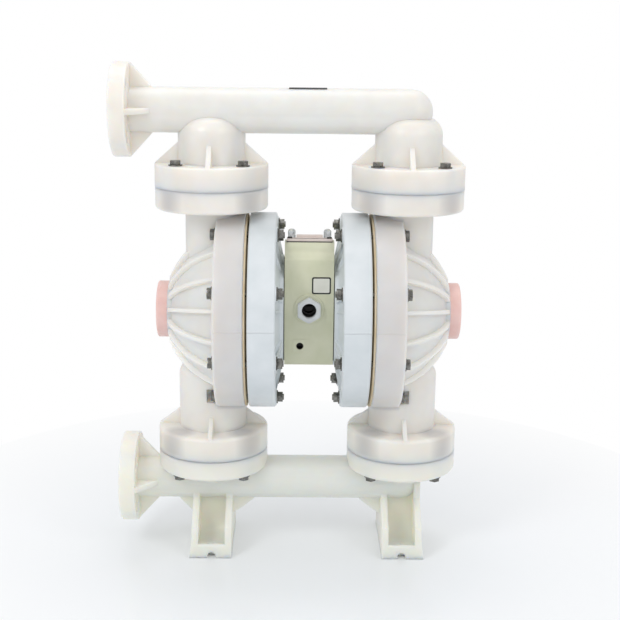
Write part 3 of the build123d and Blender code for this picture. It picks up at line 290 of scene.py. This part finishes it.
@dataclass(frozen=True)
class MilkyPlastic(Finish):
    """Moulded natural polypropylene: light sinks in two centimetres and comes out warmer.

    It is cloudy on a scale of centimetres where the melt cooled unevenly, faintly rippled by flow, and its
    skin is waxy rather than glossy. The parts near the floor are tinted slightly greener. Painted shadows
    of each threaded insert moulded into the chamber discs show as soft grey patches, and painted shade
    makes the rims greyer where rubber is clamped behind them. The real skin is finer than a pixel, so it is
    drawn at 1.6 mm.
    """

    glow_depth: float = 20.0
    glow_share: float = 1.0
    glow_radius: Triple = (1.0, 0.82, 0.62)
    cloud: float = 55.0
    ripple: float = 14.0
    ripple_stretch: Triple = (3.0, 1.0, 1.0)
    ripple_depth: float = 0.3
    skin: float = 1.6
    skin_depth: float = 0.04
    line_depth: float = 0.5
    patch: float = 20.0
    wax: tuple[float, float] = (0.22, 0.2)  # weight and roughness of the waxy skin
    low_colour: str = "#F1F1E6"
    low_share: float = 0.9
    low_heights: tuple[float, float] = (100.0, 240.0)
    # painted shadows of the metal inserts inside the chamber discs
    insert_shadow_colour: str = "#AEABAC"
    insert_shadow_share: float = 0.6
    insert_off: float = 53.7
    insert_shadow_fade: tuple[float, float] = (13.0, 32.0)
    insert_bands: tuple[tuple[float, float], ...] = ((189.0, 13.0), (-216.0, 16.0))
    band_fade: float = 7.0
    # painted shade on the chamber rims, where less light comes through the plastic
    rim_shade_colour: str = "#BFC0C6"
    rim_shade_share: float = 0.42
    rim_middle: float = 128.0
    rim_half: float = 22.0
    rim_radii: tuple[float, float] = (152.0, 165.0)
    rim_fades: Triple = (6.0, 4.0, 4.0)  # inwards, outwards and along the shaft

    def insert_shadows(self, graph: Graph, layout: Layout) -> Node:
        """Find where painted shadows of each metal insert show through the plastic.

        Args:
            graph: The tree to build in.
            layout: Where the joints are.

        Returns:
            The node that gives a full share at an insert, falling to zero around it.
        """
        mirrored = graph.add("VectorMath", [graph.place()], operation="ABSOLUTE")
        to_leg = graph.add("VectorMath", [mirrored, (layout.leg_x * MM, 0.0, 0.0)], operation="SUBTRACT")
        folded = graph.add("VectorMath", [to_leg], operation="ABSOLUTE")
        off = graph.from_axis((1.0, 1.0, 0.0), (self.insert_off, self.insert_off, 0.0), folded)
        near = graph.add("MapRange", [off, *(f * MM for f in self.insert_shadow_fade), self.insert_shadow_share, 0.0])
        height = graph.add("SeparateXYZ", [mirrored]).outputs["Z"]
        bands = []
        for middle, half in self.insert_bands:
            past = graph.away(height, layout.axis_z + middle)
            bands.append(graph.add("MapRange", [past, half * MM, (half + self.band_fade) * MM, near, 0.0]))
        return graph.add("Math", bands, operation="ADD")

    def rims(self, graph: Graph, layout: Layout) -> Node:
        """Find the chamber rims, where painted shade greys the plastic that has clamped rubber behind it.

        Args:
            graph: The tree to build in.
            layout: Where the chambers are.

        Returns:
            The node that gives a full share on a rim, zero elsewhere.
        """
        out = graph.from_axis((0.0, 1.0, 1.0), (0.0, 0.0, layout.axis_z))
        (low, high), half = self.rim_radii, self.rim_half
        inwards, outwards, along = self.rim_fades
        ring = graph.add("MapRange", [out, low * MM, (low + inwards) * MM, 0.0, self.rim_shade_share])
        ring = graph.add("MapRange", [out, high * MM, (high + outwards) * MM, ring, 0.0])
        mirrored = graph.add("VectorMath", [graph.place()], operation="ABSOLUTE")
        across = graph.away(graph.add("SeparateXYZ", [mirrored]).outputs["X"], self.rim_middle)
        return graph.add("MapRange", [across, half * MM, (half + along) * MM, ring, 0.0])

    def surface(self, graph: Graph, layout: Layout) -> Node:
        """Build the translucent plastic.

        Args:
            graph: The tree to build in.
            layout: Where the frame's parts are.

        Returns:
            The shader node.
        """
        height = graph.add("SeparateXYZ", [graph.place()]).outputs["Z"]
        # Greener towards the floor.
        low = graph.add("MapRange", [height, *(h * MM for h in self.low_heights), self.low_share, 0.0])
        tone = self.tone(graph, self.cloud, 2.0)
        # Tint the parts near the floor, then lay the painted insert shadows and the painted rim shade over the
        # tone.
        for share, code in ((low, self.low_colour), (self.insert_shadows(graph, layout), self.insert_shadow_colour),
                            (self.rims(graph, layout), self.rim_shade_colour)):
            tone = self.tinted(graph, tone, share, code)
        normal = graph.relief(
            (graph.noise(self.ripple, 2.0, 0.4, self.ripple_stretch), self.ripple_depth),
            (graph.noise(self.skin, 3.0, 0.6), self.skin_depth),
            (parting_line(graph, layout), self.line_depth),
        )
        return graph.add("BsdfPrincipled", {
            "Base Color": tone, "Roughness": self.sheen(graph, self.patch, 3.0, 0.05, 0.07), "Normal": normal,
            "IOR": 1.49, "Subsurface Weight": self.glow_share, "Subsurface Radius": self.glow_radius,
            "Subsurface Scale": self.glow_depth * MM, "Coat Weight": self.wax[0], "Coat Roughness": self.wax[1],
        })


@dataclass(frozen=True)
class Bore:
    """A bore along Y: its axis from the chamber axis, its radius, and the Y from which painted shade darkens its
    wall.
    """

    x: float
    z: float
    radius: float
    start_y: float
    fade: float = 6.0


@dataclass(frozen=True)
class MouldedPlastic(Finish):
    """Filled, moulded plastic with a fine spark-eroded grain and hardly any depth.

    The real grain is about 0.1 mm, too fine to show, so it is drawn at 0.7 mm.
    """

    glow_share: float = 0.08
    glow_depth: float = 1.5
    glow_radius: Triple = (1.0, 0.8, 0.6)
    cloud: float = 35.0
    grain: float = 0.7
    grain_depth: float = 0.04
    shaded_bores: tuple[Bore, ...] = ()
    bore_shade_colour: str = "#1E1E1C"

    @staticmethod
    def inside(graph: Graph, layout: Layout, bore: Bore) -> Node:
        """Find the wall of a bore, which little light reaches, for painted shade.

        Args:
            graph: The tree to build in.
            layout: Where the chamber axis is.
            bore: The bore.

        Returns:
            The node that gives one well inside the bore, zero outside.
        """
        off = graph.from_axis((1.0, 0.0, 1.0), (bore.x, 0.0, layout.axis_z + bore.z))
        within = graph.add("Math", [off, bore.radius * MM], operation="LESS_THAN")
        along = graph.add("SeparateXYZ", [graph.place()]).outputs["Y"]
        return graph.add("MapRange", [along, bore.start_y * MM, (bore.start_y + bore.fade) * MM, 0.0, within])

    def surface(self, graph: Graph, layout: Layout) -> Node:
        """Build the grained plastic.

        Args:
            graph: The tree to build in.
            layout: Where the frame's parts are.

        Returns:
            The shader node.
        """
        tone = self.tone(graph, self.cloud)
        # Painted shade darkens the walls of the bores.
        for bore in self.shaded_bores:
            tone = self.tinted(graph, tone, self.inside(graph, layout, bore), self.bore_shade_colour)
        normal = graph.relief((graph.noise(self.grain, 2.0, 0.6), self.grain_depth))
        return graph.add("BsdfPrincipled", {
            "Base Color": tone, "Roughness": self.roughness, "Normal": normal, "IOR": 1.5,
            "Subsurface Weight": self.glow_share, "Subsurface Radius": self.glow_radius,
            "Subsurface Scale": self.glow_depth * MM,
        })


@dataclass(frozen=True)
class PaintedCasting(Finish):
    """Sprayed paint on a die casting: the light breaks softly on orange peel and on the casting's waves."""

    dust: float = 60.0
    peel: float = 2.2
    peel_depth: float = 0.06
    wave: float = 18.0
    wave_depth: float = 0.25
    line_depth: float = 0.6
    gloss: tuple[float, float] = (0.25, 0.3)  # weight and roughness of the paint's clear top

    def surface(self, graph: Graph, layout: Layout) -> Node:
        """Build the paint film.

        Args:
            graph: The tree to build in.
            layout: Where the frame's parts are.

        Returns:
            The shader node.
        """
        normal = graph.relief(
            (graph.noise(self.peel, 2.0), self.peel_depth), (graph.noise(self.wave, 3.0), self.wave_depth),
            (parting_line(graph, layout), self.line_depth),
        )
        return graph.add("BsdfPrincipled", {
            "Base Color": self.tone(graph, self.dust, 4.0, (0.35, 0.7)), "Roughness": self.roughness,
            "Normal": normal, "Coat Weight": self.gloss[0], "Coat Roughness": self.gloss[1],
        })


@dataclass(frozen=True)
class BareMetal(Finish):
    """Turned or rolled metal: tool marks break the highlight up, and it is darker where it is dull.

    The real marks are about 0.1 mm apart, too fine to show, so they are drawn at 0.5 mm.
    """

    mark: float = 0.5
    mark_stretch: Triple = (8.0, 1.0, 1.0)
    mark_depth: float = 0.02
    stain: float = 6.0
    patch: float = 3.0

    def surface(self, graph: Graph, layout: Layout) -> Node:
        """Build the metal.

        Args:
            graph: The tree to build in.
            layout: Where the frame's parts are.

        Returns:
            The shader node.
        """
        return graph.add("BsdfPrincipled", {
            "Base Color": self.tone(graph, self.stain, 4.0, (0.35, 0.7)), "Metallic": 1.0,
            "Roughness": self.sheen(graph, self.patch, 4.0, 0.08, 0.12),
            "Normal": graph.relief((graph.noise(self.mark, 2.0, 0.5, self.mark_stretch), self.mark_depth)),
        })


@dataclass(frozen=True)
class ClearPlastic(Finish):
    """Clear moulded cap: bright rim, a little haze, faint waves from moulding."""

    haze: float = 0.35
    cloud: float = 5.0
    wave: float = 4.0
    wave_depth: float = 0.08
    gloss: tuple[float, float] = (0.6, 0.05)  # weight and roughness of the moulded skin

    def surface(self, graph: Graph, layout: Layout) -> Node:
        """Build the clear plastic.

        Args:
            graph: The tree to build in.
            layout: Where the frame's parts are.

        Returns:
            The shader node.
        """
        return graph.add("BsdfPrincipled", {
            "Base Color": self.tone(graph, self.cloud, ends=(0.4, 0.6)), "Roughness": self.roughness,
            "IOR": 1.5, "Normal": graph.relief((graph.noise(self.wave, 2.0), self.wave_depth)),
            "Transmission Weight": 1 - self.haze, "Coat Weight": self.gloss[0], "Coat Roughness": self.gloss[1],
        })


@dataclass(frozen=True)
class StageFloor(Finish):
    """Round white studio table: pale and slightly blue, with a soft sheen; beyond its edge everything is white."""

    table_m: float = 0.81
    middle_m: float = 0.30
    edge_m: float = 0.006
    fade: tuple[float, float] = (0.1, 0.85)
    edge_step: float = 0.15
    drift: float = 400.0
    drift_share: float = 0.25

    def surface(self, graph: Graph, layout: Layout) -> Node:
        """Build the table top, which runs to plain white at its edge.

        Args:
            graph: The tree to build in.
            layout: Where the frame's parts are.

        Returns:
            The shader node.
        """
        out = graph.from_axis((1.0, 1.0, 0.0), (0.0, 0.0, 0.0))
        near, past = self.table_m - self.edge_m, self.table_m + self.edge_m
        step = graph.add("MapRange", [out, near, past, 0.0, self.edge_step])
        paler = graph.add("MapRange", [out, self.middle_m, self.table_m, *self.fade])
        far = graph.add("Math", [step, paler], operation="ADD")
        sheet = graph.add("BsdfPrincipled", {
            "Base Color": self.tone(graph, self.drift, 2.0, most=self.drift_share), "Roughness": self.roughness,
        })
        white = graph.add("Emission", {"Color": linear("#FFFFFF"), "Strength": 1.0})
        seen = graph.add("LightPath").outputs["Is Camera Ray"]
        share = graph.add("Math", [far, seen], operation="MULTIPLY")
        return graph.add("MixShader", [share, sheet, white])


class Slot(Enum):
    """Every finish of the pump. All but the last three are the record's material slots."""

    # Injection-moulded polypropylene without pigment: milky and waxy, light glows in it.
    NATURAL = MilkyPlastic("natural_pp", "#F1EDE7", "#ECE7E0", 0.33)
    # Moulded plastic with a pale red pigment: even, half matt, a little soft at its edges.
    PINK = MouldedPlastic("pink_plastic", "#F4D2CC", "#EFC8C1", 0.38, glow_share=0.3)
    # Paint sprayed on die-cast aluminium: cool white and half glossy.
    PAINT = PaintedCasting("painted_alloy", "#E1E6E9", "#D3DADD", 0.42)
    # Sheet rubber, cut: matt, seen as a thin grey line.
    GASKET = MouldedPlastic("gasket_rubber", "#5A5B58", "#484946", 0.75, glow_share=0.0)
    # Stainless steel, forged and turned: grey, with small broken highlights.
    STAINLESS = BareMetal("stainless", "#8E8D88", "#5A5955", 0.30)
    # Blackened, oiled steel: dark, with a dull glint.
    DARK_SCREW = BareMetal("dark_screw", "#5C5B58", "#3B3A38", 0.42)
    # Moulded rubber with a fabric inside: tan and matt.
    DIAPHRAGM = MouldedPlastic("diaphragm_rubber", "#D8C9AB", "#CBB894", 0.6, glow_share=0.1)
    # Moulded black rubber: dark, with a soft sheen.
    SEAL = MouldedPlastic("seal_rubber", "#2B2B2A", "#1E1E1D", 0.55, glow_share=0.0)
    # Turned aluminium: pale and satin.
    PLATE = BareMetal("plate_metal", "#C9C9C6", "#A8A8A4", 0.45)
    # Turned white acetal: smooth, slightly soft.
    WHITE = MouldedPlastic("white_plastic", "#EDECE8", "#E0DFDA", 0.4, glow_share=0.1)
    # Ground fluoropolymer: white and slippery smooth.
    BALL = MouldedPlastic("ball_plastic", "#F2F1EE", "#E8E7E3", 0.3, glow_share=0.2)
    # Glass-filled moulded plastic, pale green: fine grain, with painted shade in its ports.
    BLOCK = MouldedPlastic("block_plastic", "#E0E0C6", "#D8D9BC", 0.42, shaded_bores=(
        Bore(0.0, INLET_Z, 17.0, -66.0), Bore(PILOT_X, PILOT_Z, PILOT_R + 0.4, -67.0)))
    # Moulded white plastic: cooler and glossier than the block, with painted shade in its thread.
    BUSHING = MouldedPlastic("bushing_plastic", "#E2E4E4", "#D4D7D8", 0.36, shaded_bores=(
        Bore(0.0, INLET_Z, 12.3, -75.0),))
    # Ground and polished steel: bright, with sharp reflections.
    SHAFT = BareMetal("polished_steel", "#D2D2D0", "#BBBBB8", 0.2)
    # Sintered grey plastic: matt and grainy.
    SILENCER = MouldedPlastic("silencer_plastic", "#8A8C89", "#747673", 0.6)
    # Moulded plastic, faintly pink: flat and half matt.
    COVER = MouldedPlastic("cover_plastic", "#E3D7D0", "#D9CBC3", 0.45)
    # Clear moulded plastic: bright at its rim, with a little haze.
    CLEAR = ClearPlastic("clear_plastic", "#F4F6F7", "#E6EAEC", 0.08)
    # Printed plastic film: smooth, off-white.
    LABEL = MouldedPlastic("blank_label", "#ECEBE2", "#E2E1D6", 0.35, glow_share=0.0)
    # Dark plastic film: nearly black, with a soft sheen.
    BLACK = MouldedPlastic("black_strip", "#2A2A29", "#1F1F1E", 0.5, glow_share=0.0)
    # White lacquered table: pale blue reflections, fading to white.
    FLOOR = StageFloor("studio_floor", "#F4F7FA", "#F0F5F9", 0.20)


@dataclass
class Finishes:
    """Makes each finish once and hands it out."""

    layout: Layout
    made: dict[Slot, bpy.types.Material] = field(default_factory=dict)

    def dress(self, thing: bpy.types.Object, slot: Slot) -> None:
        """Give an object one finish all over.

        Args:
            thing: The object.
            slot: Which finish; its material is made on first use.
        """
        if slot not in self.made:
            self.made[slot] = slot.value.build(self.layout)
        thing.data.materials.clear()
        thing.data.materials.append(self.made[slot])


# --------------------------------------------------------------------------
# The frame's own nodes
# --------------------------------------------------------------------------
@dataclass
class FrameDress:
    """Finish and edge treatment of the pieces that come from CAD."""

    nodes: dict[str, bpy.types.Object]
    record: dict
    finishes: Finishes
    side_edges: dict[str, float] = field(default_factory=lambda: {
        "fluid_cap": 0.45, "air_cap": 0.8, "rim_bolts": 0.5, "rim_nuts": 0.5, "cap_plug": 1.0,
    })
    single_edges: dict[str, float] = field(default_factory=lambda: {
        "outlet_manifold": 0.45, "inlet_manifold": 0.45, "outlet_joint_bolts": 0.5, "inlet_joint_bolts": 0.5,
        "center_block": 1.2, "air_inlet_bushing": 0.6, "top_cover": 0.8, "top_cover_screws": 0.5,
        "air_valve_body": 1.5, "air_valve_end_caps": 1.0, "air_valve_screws": 0.6, "exhaust_silencer": 0.6,
    })
    corner_deg: float = 35.0
    weld: float = 0.02

    def build(self) -> None:
        """Dress every node and round its edges."""
        slots = {slot.value.name: slot for slot in Slot}
        edges = self.single_edges | {
            f"{side}_{part}": width for side in SIDES for part, width in self.side_edges.items()
        }
        for part in self.record["subparts"]:
            node = self.nodes[part["node"]]
            self.finishes.dress(node, slots[part["material_slot"]])
            self.smooth(node)
            if node.name in edges:
                self.round_edges(node, edges[node.name])
            log.info("dressed %s with %s", node.name, part["material_slot"])

    def smooth(self, node: bpy.types.Object) -> None:
        """Close the mesh's seams and shade it smooth.

        Args:
            node: The CAD node.
        """
        for face in node.data.polygons:
            face.use_smooth = True
        modifier = node.modifiers.new("weld", "WELD")
        modifier.merge_threshold = self.weld * MM

    def round_edges(self, node: bpy.types.Object, width: float) -> None:
        """Round a node's sharp edges a little, as a mould or a file leaves them.

        Args:
            node: The CAD node.
            width: Width of the rounding.
        """
        bevel = node.modifiers.new("rounding", "BEVEL")
        bevel.width = width * MM
        bevel.segments = 2
        bevel.limit_method = "ANGLE"
        bevel.angle_limit = math.radians(self.corner_deg)
        bevel.harden_normals = False
        bevel.use_clamp_overlap = True


# --------------------------------------------------------------------------
# Pieces that the CAD frame doesn't have
# --------------------------------------------------------------------------
@dataclass
class Workshop:
    """Makes mesh pieces from points in millimetres and hands them to the frame."""

    finishes: Finishes
    layout: Layout

    def mesh(self, name: str, points: Iterable[Triple], faces: Iterable[Sequence[int]],
             slot: Slot) -> bpy.types.Object:
        """Make a mesh piece with consistent outward faces.

        Args:
            name: Name of the piece.
            points: Corners.
            faces: Corner numbers of each face.
            slot: Its finish.

        Returns:
            The object, linked into the scene.
        """
        mesh = bpy.data.meshes.new(name)
        mesh.from_pydata([tuple(c * MM for c in p) for p in points], [], [tuple(f) for f in faces])
        work = bmesh.new()
        work.from_mesh(mesh)
        bmesh.ops.remove_doubles(work, verts=work.verts, dist=1e-6)
        bmesh.ops.recalc_face_normals(work, faces=work.faces)
        work.to_mesh(mesh)
        work.free()
        for face in mesh.polygons:
            face.use_smooth = True
        piece = bpy.data.objects.new(name, mesh)
        bpy.context.scene.collection.objects.link(piece)
        self.finishes.dress(piece, slot)
        log.info("made %s in %s", name, slot.value.name)
        return piece

    def prism(self, name: str, outline: Sequence[tuple[float, float]],
              lift: Callable[[float, float, float], Triple], depth: float, slot: Slot) -> bpy.types.Object:
        """Make a plate from an outline.

        Args:
            name: Name of the piece.
            outline: Corners in the plate's own plane.
            lift: Turns (u, v, height) into a place.
            depth: Thickness.
            slot: Its finish.

        Returns:
            The object.
        """
        count = len(outline)
        points = [lift(u, v, height) for height in (0.0, depth) for u, v in outline]
        faces = [list(range(count)), list(range(2 * count - 1, count - 1, -1))]
        faces += [(i, (i + 1) % count, count + (i + 1) % count, count + i) for i in range(count)]
        piece = self.mesh(name, points, faces, slot)
        for face in piece.data.polygons:
            face.use_smooth = False
        return piece

    def turned(self, name: str, profile: Sequence[tuple[float, float]], slot: Slot,
               steps: int = 96) -> bpy.types.Object:
        """Turn a closed profile about the shaft's axis.

        Args:
            name: Name of the piece.
            profile: Pairs of station along X and radius.
            slot: Its finish.
            steps: Divisions round the axis.

        Returns:
            The object.
        """
        count = len(profile)
        points, faces = [], []
        for i in range(steps):
            turn = 2 * math.pi * i / steps
            points += [(x, r * math.sin(turn), self.layout.axis_z + r * math.cos(turn)) for x, r in profile]
            here, there = i * count, ((i + 1) % steps) * count
            faces += [(here + k, here + (k + 1) % count, there + (k + 1) % count, there + k) for k in range(count)]
        return self.mesh(name, points, faces, slot)


def rounded(half_u: float, half_v: float, radius: float, steps: int = 6) -> list[tuple[float, float]]:
    """Outline of a rectangle with round corners.

    Args:
        half_u: Half its width.
        half_v: Half its height.
        radius: Corner radius.
        steps: Points along each corner.

    Returns:
        The outline, anticlockwise.
    """
    outline = []
    for quarter, (su, sv) in enumerate(((1, 1), (-1, 1), (-1, -1), (1, -1))):
        for i in range(steps + 1):
            turn = math.pi / 2 * (quarter + i / steps)
            outline.append((su * (half_u - radius) + radius * math.cos(turn),
                            sv * (half_v - radius) + radius * math.sin(turn)))
    return outline


@dataclass
class BlankPlate:
    """Bare plate with a dark edge on the front of the centre block, where a label would be."""

    workshop: Workshop
    front_y: float = -64.4
    middle_x: float = 19.7
    middle_z: float = 55.0
    half_x: float = 15.4
    half_z: float = 14.0
    corner: float = 3.0
    border: float = 2.3
    thickness: float = 0.35

    def layer(self, name: str, inset: float, start: float, slot: Slot) -> None:
        """Make one layer of the plate.

        Args:
            name: Name of the piece.
            inset: How far its outline lies inside the plate's.
            start: How far it starts in front of the block.
            slot: Its finish.
        """
        def lift(u: float, v: float, h: float) -> Triple:
            """Stand the outline on the block's front."""
            return self.middle_x + u, self.front_y - start - h, middle_z + v

        middle_z = self.workshop.layout.axis_z + self.middle_z
        outline = rounded(self.half_x - inset, self.half_z - inset, self.corner - inset * 0.5)
        piece = self.workshop.prism(name, outline, lift, self.thickness, slot)
        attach(piece, ROOT)

    def build(self) -> None:
        """Make the dark edge and the pale field on it."""
        self.layer("plate_edge", 0.0, 0.0, Slot.BLACK)
        self.layer("plate_field", self.border, self.thickness * 0.5, Slot.LABEL)


@dataclass
class PipeStrip:
    """Thin dark strip, bare, lying on top of the discharge pipe."""

    workshop: Workshop
    pipe_z: float = 330.0
    pipe_r: float = 36.6
    start_x: float = -35.0
    end_x: float = 26.0
    half_width: float = 10.0
    thickness: float = 0.8
    sunk: float = 0.3
    half_steps: int = 6

    def build(self) -> None:
        """Bend a strip round the top of the pipe."""
        reach = self.half_width / self.pipe_r
        angles = [reach * (i / self.half_steps - 1) for i in range(2 * self.half_steps + 1)]
        arc = [(a, self.pipe_r - self.sunk) for a in angles]
        arc += [(a, self.pipe_r + self.thickness) for a in reversed(angles)]
        middle_z = self.workshop.layout.axis_z + self.pipe_z
        section = [(r * math.sin(a), middle_z + r * math.cos(a)) for a, r in arc]

        def lift(u: float, v: float, h: float) -> Triple:
            """Lay the section along the pipe."""
            return self.start_x + h, u, v

        piece = self.workshop.prism("pipe_strip", section, lift, self.end_x - self.start_x, Slot.BLACK)
        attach(piece, ROOT)


@dataclass
class RollingDiaphragm:
    """Moulded diaphragm whose outer bead stays in the rims while its centre moves with the shaft."""

    workshop: Workshop
    side: str
    sign: float
    bead_in: float = 124.0
    bead_out: float = 138.0
    bead_lap: float = 2.0
    bead_t: float = 6.0
    lip_r: float = 161.5
    lip_t: float = 2.6
    plate_r: float = 82.0
    hub_r: float = 8.1
    crown_rise: float = 5.8
    lean: float = 0.25
    bend_margin: float = 0.3

    def profile(self) -> list[tuple[float, float]]:
        """Give the section: lip, bead, fold on the liquid side, centre, and the fold's air side.

        Returns:
            Pairs of station and radius for the right-hand side.
        """
        near, thick, air = self.workshop.layout.clamp_x, self.workshop.layout.sheet_t, self.workshop.layout.air_face
        fluid, far = air + self.bead_t, near + thick
        root, crown = self.bead_in - self.bead_lap, near + self.crown_rise
        outer = self.fold((fluid, root), (far, self.plate_r), crown)
        inner = self.fold((air, root), (near, self.plate_r), crown - thick)
        bead = [
            (air, self.bead_out), (fluid - self.lip_t, self.bead_out),
            (fluid - self.lip_t, self.lip_r), (fluid, self.lip_r),
        ]
        return bead + outer + [(far, self.hub_r), (near, self.hub_r)] + inner[::-1]

    def fold(self, start: tuple[float, float], end: tuple[float, float], crown: float,
             steps: int = 14) -> list[tuple[float, float]]:
        """Round fold between the bead and the clamped centre.

        Args:
            start: Where it leaves the bead.
            end: Where it meets the centre.
            crown: Furthest station.
            steps: Points along it.

        Returns:
            Points along the fold.
        """
        points = []
        for i in range(steps + 1):
            t = i / steps
            base = start[0] + (end[0] - start[0]) * t
            rise = (crown - (start[0] + end[0]) / 2) * math.sin(math.pi * t) * (1 - self.lean * t)
            points.append((base + rise, start[1] + (end[1] - start[1]) * t))
        return points

    def build(self) -> None:
        """Make the diaphragm in place of the frame's own; the stations where it would bend are worked out but not
        used.
        """
        profile = [(self.sign * x, r) for x, r in self.profile()]
        piece = self.workshop.turned(f"{self.side}_rolling_diaphragm", profile, Slot.DIAPHRAGM)
        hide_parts(f"{self.side}_diaphragm")
        layout = self.workshop.layout
        start_x = layout.air_face + self.bead_t + self.bend_margin
        end_x = layout.clamp_x - self.bend_margin
        start, end = ((self.sign * x * MM, 0.0, layout.axis_z * MM) for x in (start_x, end_x))
        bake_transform(piece)
        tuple(start)
        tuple(end)


@dataclass
class InletThread:
    """Pipe thread standing inside the air inlet, fourteen turns to the inch."""

    workshop: Workshop
    start_y: float = -77.4
    length: float = 26.0
    bore_r: float = 12.06
    pitch: float = 1.814
    height: float = 0.45
    sunk: float = 0.05
    half_flank: float = 0.42
    steps: int = 28

    def build(self) -> None:
        """Sweep a small triangle along the helix, fading out over a turn at both ends."""
        middle_z = self.workshop.layout.axis_z + INLET_Z
        turns = self.length / self.pitch - 1
        total = int(turns * self.steps)
        section = ((-self.half_flank, self.sunk), (0.0, -self.height), (self.half_flank, self.sunk))
        points = []
        for i in range(total + 1):
            turn = 2 * math.pi * i / self.steps
            fade = min(1.0, i / self.steps, (total - i) / self.steps)
            y = self.start_y + self.pitch * (0.5 + i / self.steps)
            for along, out in section:
                r = self.bore_r + (out if out > 0 else out * fade)
                points.append((r * math.cos(turn), y + along * self.pitch, middle_z + r * math.sin(turn)))
        faces = []
        for i in range(total):
            a = 3 * i
            faces += [(a + k, a + (k + 1) % 3, a + 3 + (k + 1) % 3, a + 3 + k) for k in range(3)]
        faces += [(0, 1, 2), (3 * total + 2, 3 * total + 1, 3 * total)]
        piece = self.workshop.mesh("air_inlet_thread", points, faces, Slot.BUSHING)
        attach(piece, ROOT)


# --------------------------------------------------------------------------
# Stage, light, camera
# --------------------------------------------------------------------------
@dataclass
class Stage:
    """Pale seamless floor."""

    finishes: Finishes
    half_m: float = 6.0
    drop_m: float = 0.0004

    def build(self) -> None:
        """Make the floor, a little under the feet."""
        mesh = bpy.data.meshes.new("studio_floor")
        h = self.half_m
        mesh.from_pydata([(-h, -h, 0), (h, -h, 0), (h, h, 0), (-h, h, 0)], [], [(0, 1, 2, 3)])
        floor = bpy.data.objects.new("studio_floor", mesh)
        floor.location.z = -self.drop_m
        bpy.context.scene.collection.objects.link(floor)
        self.finishes.dress(floor, Slot.FLOOR)


@dataclass(frozen=True)
class SoftBox:
    """One rectangular studio light, with places and sizes in metres."""

    name: str
    place: Triple
    aim: Triple
    size: tuple[float, float]
    watts: float

    def build(self) -> None:
        """Hang the light."""
        light = bpy.data.lights.new(self.name, "AREA")
        light.shape = "RECTANGLE"
        light.size, light.size_y = self.size
        light.energy = self.watts
        lamp = bpy.data.objects.new(self.name, light)
        lamp.location = self.place
        way = Vector(self.aim) - Vector(self.place)
        lamp.rotation_euler = way.to_track_quat("-Z", "Y").to_euler()
        bpy.context.scene.collection.objects.link(lamp)


@dataclass(frozen=True)
class Studio:
    """Lights and the white surround."""

    boxes: tuple[SoftBox, ...] = (
        SoftBox("key_light", (-1.5, -1.7, 2.1), (0.0, 0.0, 0.5), (0.8, 0.9), 15.0),
        SoftBox("fill_light", (1.7, -1.7, 1.9), (0.0, 0.0, 0.5), (0.8, 0.9), 8.0),
        SoftBox("top_light", (0.1, 0.5, 2.6), (0.0, 0.0, 0.4), (1.6, 1.2), 9.0),
    )
    surround_colour: str = "#FBFBFC"
    surround_strength: float = 0.80

    def build(self) -> None:
        """Hang the lights and set the surround, which lights the pump softly and is seen as plain white."""
        for box in self.boxes:
            box.build()
        world = bpy.data.worlds.new("surround")
        bpy.context.scene.world = world
        world.use_nodes = True
        world.node_tree.nodes.clear()
        graph = Graph(world.node_tree)
        seen = graph.add("LightPath").outputs["Is Camera Ray"]
        soft = graph.add("Background", [linear(self.surround_colour), self.surround_strength])
        white = graph.add("Background", [linear("#FFFFFF"), 1.0])
        graph.add("OutputWorld", {"Surface": graph.add("MixShader", [seen, soft, white])})


@dataclass(frozen=True)
class Camera:
    """Long lens slightly above the pump, almost square to its front."""

    place_m: Triple = (-0.01985, -1.94669, 0.86973)
    azimuth_deg: float = -0.653
    elevation_deg: float = 13.163
    roll_deg: float = 0.637
    lens: float = 69.04
    sensor: float = 36.0
    reach_m: float = 50.0

    def build(self) -> None:
        """Set the camera up and make it the scene's."""
        a, e, roll = (math.radians(v) for v in (self.azimuth_deg, self.elevation_deg, self.roll_deg))
        back = Vector((math.sin(a) * math.cos(e), -math.cos(a) * math.cos(e), math.sin(e)))
        right = (-back).cross(Vector((0, 0, 1))).normalized()
        up = right.cross(-back).normalized()
        turned_right = math.cos(roll) * right + math.sin(roll) * up
        turned_up = -math.sin(roll) * right + math.cos(roll) * up
        basis = Matrix((turned_right, turned_up, back)).transposed().to_4x4()
        data = bpy.data.cameras.new("camera")
        data.sensor_width = self.sensor
        data.lens = self.lens
        data.clip_end = self.reach_m
        camera = bpy.data.objects.new("camera", data)
        camera.matrix_world = Matrix.Translation(self.place_m) @ basis
        bpy.context.scene.collection.objects.link(camera)
        bpy.context.scene.camera = camera


def main() -> None:
    """Load the frame, build everything in order and report it."""
    logging.basicConfig(level=logging.INFO, format="%(message)s")
    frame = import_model()
    layout = Layout.from_frame()
    finishes = Finishes(layout)
    FrameDress(frame["nodes"], frame["record"], finishes).build()
    workshop = Workshop(finishes, layout)
    BlankPlate(workshop).build()
    PipeStrip(workshop).build()
    for side, sign in SIDES.items():
        RollingDiaphragm(workshop, side, sign).build()
    InletThread(workshop).build()
    Stage(finishes).build()
    Studio().build()
    Camera().build()
    bpy.context.scene.view_settings.view_transform = "Standard"


if __name__ == "__main__":
    main()
